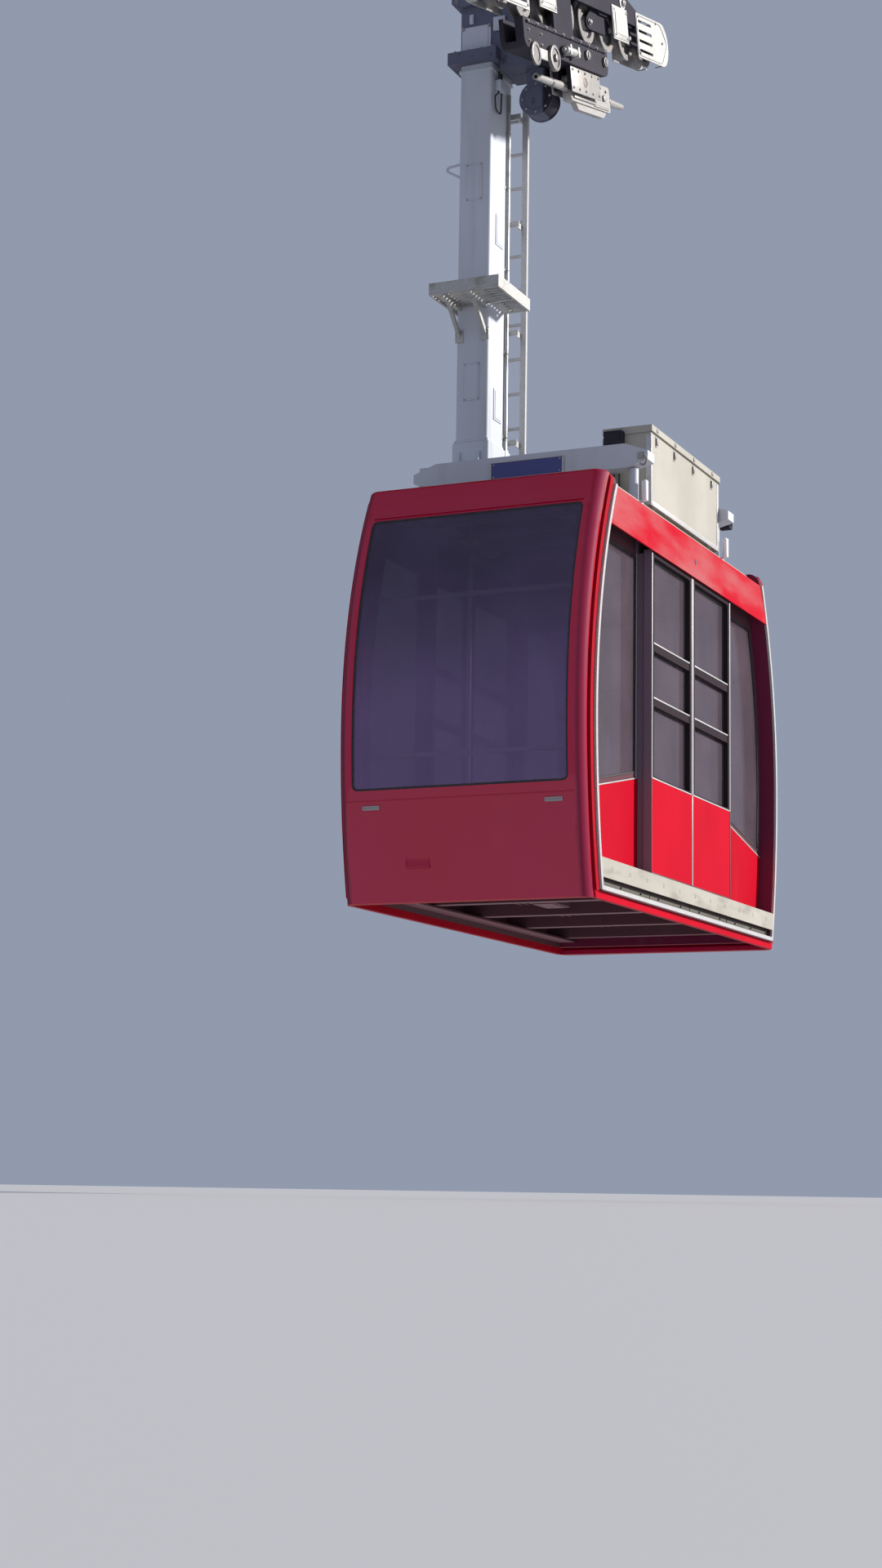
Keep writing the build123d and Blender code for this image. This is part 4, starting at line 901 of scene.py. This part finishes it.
def column_fittings():
    """Gussets, inspection covers, conduit with clips and a junction box on the hanger column."""
    front, near, far = 0.177, -0.592, -0.832
    gusset_x, gusset_top = 0.195, 3.250
    gusset = block((gusset_x, -0.006, 2.986), (0.285, 0.006, gusset_top), 0)
    choose(gusset, lambda centre, normal: normal.z > 0.98)
    bpy.ops.transform.resize(value=(0.12, 1, 1), center_override=(gusset_x, 0, gusset_top))
    bpy.ops.object.mode_set(mode="OBJECT")
    soften(gusset, 0.002)
    turned = copied(gusset, (0, -0.712, 0), (0, 0, radians(180)))
    gussets = spread(gusset, [(0, -0.785, 0), (0, -0.640, 0)])
    settle(joined(gussets, turned), "foot_gussets", "cabin", "grey_paint")

    covers, screws = [], []
    for h in (3.62, 5.05):
        cover = block((front, -0.770, h), (front + 0.006, -0.654, h + 0.26), 0.002)
        covers.append(press(cover, AHEAD, 0.012, 0.003))
        screws += [(front + 0.0065, y, h + rise) for y in (-0.764, -0.660) for rise in (0.006, 0.254)]
    for h in (3.50, 4.75):
        cover = block((-0.050, near, h), (0.080, near + 0.006, h + 0.22), 0.002)
        covers.append(press(cover, LEFT, 0.012, 0.003))
    covers.append(block((front - 0.012, near - 0.012, 3.325), (front + 0.004, near + 0.004, 3.345), 0.002))
    for low in (3.322, 5.985):
        covers.append(block((-0.183, far - 0.006, low), (0.183, near + 0.006, low + 0.022), 0.003))
    settle(joined(*covers), "column_covers", "cabin", "grey_paint")
    settle(bolts(screws, 0.006, AHEAD), "cover_screws", "cabin", "plain_steel")

    x, y = -0.105, near + 0.015
    pipe = rod([(x, y + 0.20, 2.992), (x, y, 2.992), (x, y, 5.900)], 0.012, 0.06)
    heights = (3.4, 4.0, 4.6, 5.2, 5.6)
    clips = [block((x - 0.026, near, h), (x + 0.026, near + 0.004, h + 0.03), 0.001) for h in heights]
    straps = [ring((x, y, h + 0.015), 0.0135, 0.003, "Z", 16) for h in heights]
    settle(joined(pipe, *clips, *straps), "column_conduit", "cabin", "galvanised")
    case = block((0.035, near, 5.850), (0.120, near + 0.045, 5.930), 0.005)
    press(case, LEFT, 0.008, 0.005)
    settle(case, "junction_box", "cabin", "grey_paint")
    y = near + 0.022
    pipes = [rod([(x, y, 5.925), (x, y, 5.995)], 0.008) for x in (0.055, 0.095)]
    path = [(0.102, y, 5.853), (0.102, y, 5.835), (0.168, y, 5.790), (0.150, y, 5.695)]
    path += [(0.060, y, 5.690), (0.052, y, 5.853)]
    pipes.append(rod(path, 0.006, 0.03))
    settle(joined(*pipes), "junction_pipes", "cabin", "dark_paint", material=SEAL_RUBBER)


def head_fittings():
    """Plates, bolts and lugs of the hanger head, rims of the swing damper, and the struts' plates."""
    panel = block((0.150, -0.830, 6.140), (0.160, -0.610, 6.330), 0.003)
    press(panel, AHEAD, 0.018, 0.004)
    side = block((-0.100, -0.222, 6.080), (0.100, -0.214, 6.330), 0.003)
    press(side, LEFT, 0.018, 0.004)
    lugs = []
    for y in (-0.80, -0.32):
        lug = block((-0.014, y - 0.05, 6.850), (0.014, y + 0.05, 6.930), 0)
        lugs.append(slide_face(lug, UP, (0, 0, 0), 0.55))
    lug = block((0.150, -0.772, 6.350), (0.166, -0.742, 6.420), 0.003)
    cover = block((0.150, -0.590, 6.270), (0.170, -0.500, 6.370), 0.004)
    lugs += [press(lug, AHEAD, 0.006, 0.004), press(cover, AHEAD, 0.012, 0.005)]
    settle(joined(panel, side, *lugs), "head_plates", "cabin", "grey_paint")
    screws = [(0.1605, y, h) for y in (-0.820, -0.620) for h in (6.150, 6.320)]
    screws += [(0.190, y, h) for y in (-0.86, -0.70, -0.54, -0.38, -0.27) for h in (6.52, 6.81)]
    faces = bolts(screws, 0.013, AHEAD)
    collar = [(x, y, 6.131) for x in (-0.205, 0.205) for y in (-0.86, -0.76, -0.66, -0.58)]
    settle(joined(faces, bolts(collar, 0.016, UP)), "head_bolts", "cabin", "plain_steel")

    middle = (-0.302, 5.770)
    rims = [disc((x, *middle), 0.126, 0.012, "X", 40, 0.002) for x in (-0.066, 0.066)]
    for rim, way in zip(rims, (-1, 1)):
        press(rim, (way, 0, 0), 0.045, 0.010)
    turns = [radians(45 * step) for step in range(8)]
    around = [(middle[0] + 0.102 * cos(a), middle[1] + 0.102 * sin(a)) for a in turns]
    heads = joined(bolts([(0.072, *spot) for spot in around], 0.008, AHEAD),
                   bolts([(-0.072, *spot) for spot in around], 0.008, (-1, 0, 0)))
    settle(joined(*rims), "damper_rims", "cabin", "carriage_paint")
    settle(heads, "damper_bolts", "cabin", "plain_steel")

    plates, screws = [], []
    for y in (-0.808, -0.616):
        plates.append(block((0.1772, y - 0.030, 4.035), (0.1852, y + 0.030, 4.125), 0.002))
        screws += [(0.1854, y + side, 4.108) for side in (-0.020, 0.020)]
    settle(joined(*plates), "strut_plates", "cabin", "galvanised")
    settle(bolts(screws, 0.008, AHEAD), "strut_bolts", "cabin", "plain_steel")


def carriage_fittings():
    """Nuts, bolts and bosses on the rockers, frame, covers and rope guards."""
    axles = [(step - 2.5) * 0.4 for step in range(6)]
    link_u, link_w, guard_face = 0.8, 0.372, 0.1047
    frame_bolts = (-0.40, -0.30, -0.20, 0.20, 0.30, 0.40)
    plate_bolts = [(end * u, guard_face, w) for end in (-1, 1) for u in (0.59, 0.84) for w in (0.12, 0.30)]
    spots = ((1.10, 0.32), (1.10, 0.06), (1.50, 0.33), (1.62, 0.20))
    guard_bolts = [(end * u, guard_face, w) for end in (-1, 1) for u, w in spots]
    nuts = [bolts([(u, 0.0545, 0.156) for u in axles], 0.022, LEFT)]
    nuts.append(bolts([(u, 0.0965, link_w) for u in (-link_u, link_u)], 0.030, LEFT))
    nuts.append(bolts([(u, 0.0965, 0.535) for u in frame_bolts], 0.014, LEFT))
    nuts.append(bolts(plate_bolts, 0.012, LEFT))
    nuts.append(bolts(guard_bolts, 0.011, LEFT))
    settle(both_sides(joined(*nuts)), "carriage_bolts", "carriage", "plain_steel", CARRIAGE)

    boss = disc((0, 0.1000, link_w), 0.052, 0.008, "Y", 32, 0.002)
    press(boss, LEFT, 0.014, -0.003)
    bosses = spread(boss, [(-link_u, 0, 0), (link_u, 0, 0)])
    plate = block((0.57, 0.1045, 0.100), (0.86, 0.1085, 0.320), 0.002)
    press(plate, LEFT, 0.030, 0.004)
    plates = both_ends(plate)
    corners = ((1.085, 0.045), (1.085, 0.335), (1.600, 0.335), (1.735, 0.205), (1.600, 0.045))
    beads = []
    for end in (-1, 1):
        beads.append(rod([(end * u, 0.1050, w) for u, w in corners], 0.005, 0.05, True))
    settle(both_sides(joined(bosses, plates, *beads)), "guard_plates", "carriage", "galvanised", CARRIAGE)
    cap = disc((1.763, 0, 0.190), 0.050, 0.010, "X", 32, 0.002)
    press(cap, AHEAD, 0.016, -0.005)
    rim = ring((1.767, 0, 0.190), 0.056, 0.008, "X")
    settle(both_ends(joined(cap, rim)), "nose_caps", "carriage", "galvanised", CARRIAGE)

    ties = []
    for u in (-0.20, 0.0, 0.20):
        ties.append(disc((u, 0, 0.540), 0.012, 0.160, "Y", 20, 0.002))
    for end in (-1, 1):
        ties.append(disc((end * 1.10, 0, 0.315), 0.012, 0.190, "Y", 20, 0.002))
        ties.append(block((end * 1.33 - 0.02, -0.100, 0.346), (end * 1.33 + 0.02, 0.100, 0.354), 0.002))
    settle(joined(*ties), "frame_ties", "carriage", "carriage_paint", CARRIAGE)


def brake_fittings():
    """Sheaves, actuator, rail, plates and bolts of the track brake and of the grip under it."""
    face = 0.1003
    sheave_u, sheave_w = 0.73, -0.235
    sheave = disc((sheave_u, face + 0.018, sheave_w), 0.088, 0.028, "Y", 36, 0.004)
    press(sheave, LEFT, 0.020, -0.008)
    hub = disc((sheave_u, face + 0.022, sheave_w), 0.026, 0.042, "Y", 24, 0.003)
    guard = disc((1.04, face + 0.010, -0.245), 0.078, 0.014, "Y", 36, 0.002)
    press(guard, LEFT, 0.022, -0.006)
    arm = block((0.64, face, -0.265), (1.10, face + 0.010, -0.195), 0.003)
    wheel = [sheave, hub, guard]
    for u in (-0.30, 0.05):
        small = disc((u, face + 0.010, -0.118), 0.034, 0.020, "Y", 28, 0.002)
        wheel.append(press(small, LEFT, 0.010, 0.006))
    settle(joined(*wheel), "brake_sheaves", "carriage", "roller_iron", CARRIAGE)

    rail = block((-0.33, face, -0.056), (1.14, face + 0.010, -0.036), 0.002)
    cylinder = disc((0.42, face + 0.030, -0.150), 0.028, 0.230, "X", 28, 0.004)
    press(cylinder, AHEAD, 0.012, 0.030)
    clamps = []
    for u in (0.345, 0.495):
        clamps.append(block((u - 0.012, face, -0.186), (u + 0.012, face + 0.062, -0.114), 0.003))
    settle(joined(arm, cylinder, *clamps), "brake_gear", "carriage", "galvanised", CARRIAGE)
    settle(rail, "brake_rail", "carriage", "carriage_paint", CARRIAGE)
    spots = [(-0.30 + 0.16 * step, face + 0.0100, -0.046) for step in range(10)]
    spots += [(u, face, w) for u in (0.90, 1.12) for w in (-0.10, -0.17)]
    settle(bolts(spots, 0.012, LEFT), "brake_bolts", "carriage", "roller_iron", CARRIAGE)

    grip_face, plate_face, jaw_w = 0.0322, 0.0764, -0.345
    places = [(-0.472, grip_face, -0.399), (-0.472, grip_face, -0.291), (0.152, grip_face, -0.399)]
    places += [(u, grip_face, -0.278) for u in (-0.36, -0.25, 0.045)]
    near = bolts(places, 0.013, LEFT)
    spots = [(u, plate_face, w) for u in (-0.215, -0.09, 0.045, 0.17, 0.285) for w in (-0.240, -0.362)]
    plate = block((-0.245, 0.0704, -0.392), (0.315, plate_face, -0.217), 0.002)
    hole = disc((0.045, 0.0770, -0.300), 0.036, 0.004, "Y", 28, 0.001)
    press(hole, LEFT, 0.008, -0.0025)
    plates = joined(plate, bolts(spots, 0.011, LEFT))
    settle(both_sides(plates), "grip_plates", "carriage", "plain_steel", CARRIAGE)
    settle(both_sides(hole), "grip_windows", "carriage", "roller_iron", CARRIAGE)
    jaw = block((-0.50, grip_face, -0.425), (-0.22, 0.0402, -0.372), 0.002)
    press(jaw, LEFT, 0.010, 0.003)
    lever = block((-0.215, grip_face, -0.415), (0.190, 0.0442, -0.392), 0.003)
    pads = [disc((u, 0.040, jaw_w), 0.024, 0.016, "Y", 28, 0.002) for u in (-0.42, -0.28)]
    settle(both_sides(joined(near, jaw, lever, *pads)), "grip_fittings", "carriage", "plain_steel", CARRIAGE)
    sizes = ((-0.56, 0.036), (0.24, 0.037), (0.52, 0.031))
    collars = [disc((u, 0, jaw_w), radius, 0.018, "X", 28, 0.003) for u, radius in sizes]
    settle(joined(*collars), "grip_collars", "carriage", "roller_iron", CARRIAGE)


def under_floor():
    """Pipes, a cable tray and a junction case between the cross members."""
    pipes = [rod([(-1.44, y, 0.172), (1.44, y, 0.172)], 0.011) for y in (-0.36, -0.31)]
    pipes.append(rod([(-1.0, 0.30, 0.190), (-1.0, 0.42, 0.190), (1.10, 0.42, 0.190)], 0.009, 0.05))
    settle(joined(*pipes), "floor_pipes", "cabin", "dark_paint")
    tray = block((-1.40, 0.10, 0.186), (1.40, 0.22, 0.204), 0.002)
    press(tray, DOWN, 0.004, -0.012)
    case = block((0.20, -0.12, 0.120), (0.50, 0.05, 0.204), 0.006)
    press(case, DOWN, 0.012, 0.004)
    settle(joined(tray, case), "cable_tray", "cabin", "dark_paint")


def studio():
    """Pale floor, pale surroundings and a soft key light on the door side."""
    bpy.context.scene.view_settings.view_transform = "Standard"
    world = bpy.data.worlds.new("studio")
    bpy.context.scene.world = world
    world.use_nodes = True
    back = world.node_tree.nodes["Background"]
    back.inputs["Color"].default_value = SKY_COLOUR
    back.inputs["Strength"].default_value = SKY_STRENGTH

    bpy.ops.object.select_all(action="DESELECT")
    floor_z = CAMERA_PLACE.z - FLOOR_BELOW_CAMERA
    bpy.ops.mesh.primitive_plane_add(size=FLOOR_SIZE, location=(0, 0, floor_z))
    floor = bpy.context.object
    floor.name = "studio_floor"
    finish = Finish("studio_floor")
    finish.set(Base_Color=(0.50, 0.50, 0.51), Roughness=0.8)
    floor.data.materials.append(finish.material)

    sun = bpy.data.lights.new("key", "SUN")
    sun.energy = SUN_STRENGTH
    sun.angle = SUN_ANGLE
    sun.color = SUN_COLOUR
    lamp = bpy.data.objects.new("key", sun)
    bpy.context.scene.collection.objects.link(lamp)
    lamp.rotation_euler = SUN_TOWARDS.to_track_quat("-Z", "Y").to_euler()


def camera():
    """Camera at the photograph's viewing angle."""
    data = bpy.data.cameras.new("camera")
    data.sensor_fit = "AUTO"
    data.sensor_width = SENSOR
    data.lens = FOCAL_PIXELS * SENSOR / IMAGE_LONG_SIDE
    data.clip_end = 1000.0
    holder = bpy.data.objects.new("camera", data)
    bpy.context.scene.collection.objects.link(holder)
    level_ahead = Vector((cos(CAMERA_YAW), sin(CAMERA_YAW), 0.0))
    ahead = cos(CAMERA_PITCH) * level_ahead + Vector((0.0, 0.0, sin(CAMERA_PITCH)))
    level_right = Vector((sin(CAMERA_YAW), -cos(CAMERA_YAW), 0.0))
    level_up = level_right.cross(ahead)
    right = cos(CAMERA_ROLL) * level_right + sin(CAMERA_ROLL) * level_up
    up = cos(CAMERA_ROLL) * level_up - sin(CAMERA_ROLL) * level_right
    turn = Matrix((right, up, -ahead)).transposed()
    holder.matrix_world = Matrix.Translation(CAMERA_PLACE) @ turn.to_4x4()
    bpy.context.scene.camera = holder


dress_frame()
door_fittings()
window_seals()
side_profiles()
end_fittings()
ceiling()
roof_fittings()
box_fittings()
column_fittings()
head_fittings()
carriage_fittings()
brake_fittings()
under_floor()
studio()
camera()

bpy.context.view_layer.update()
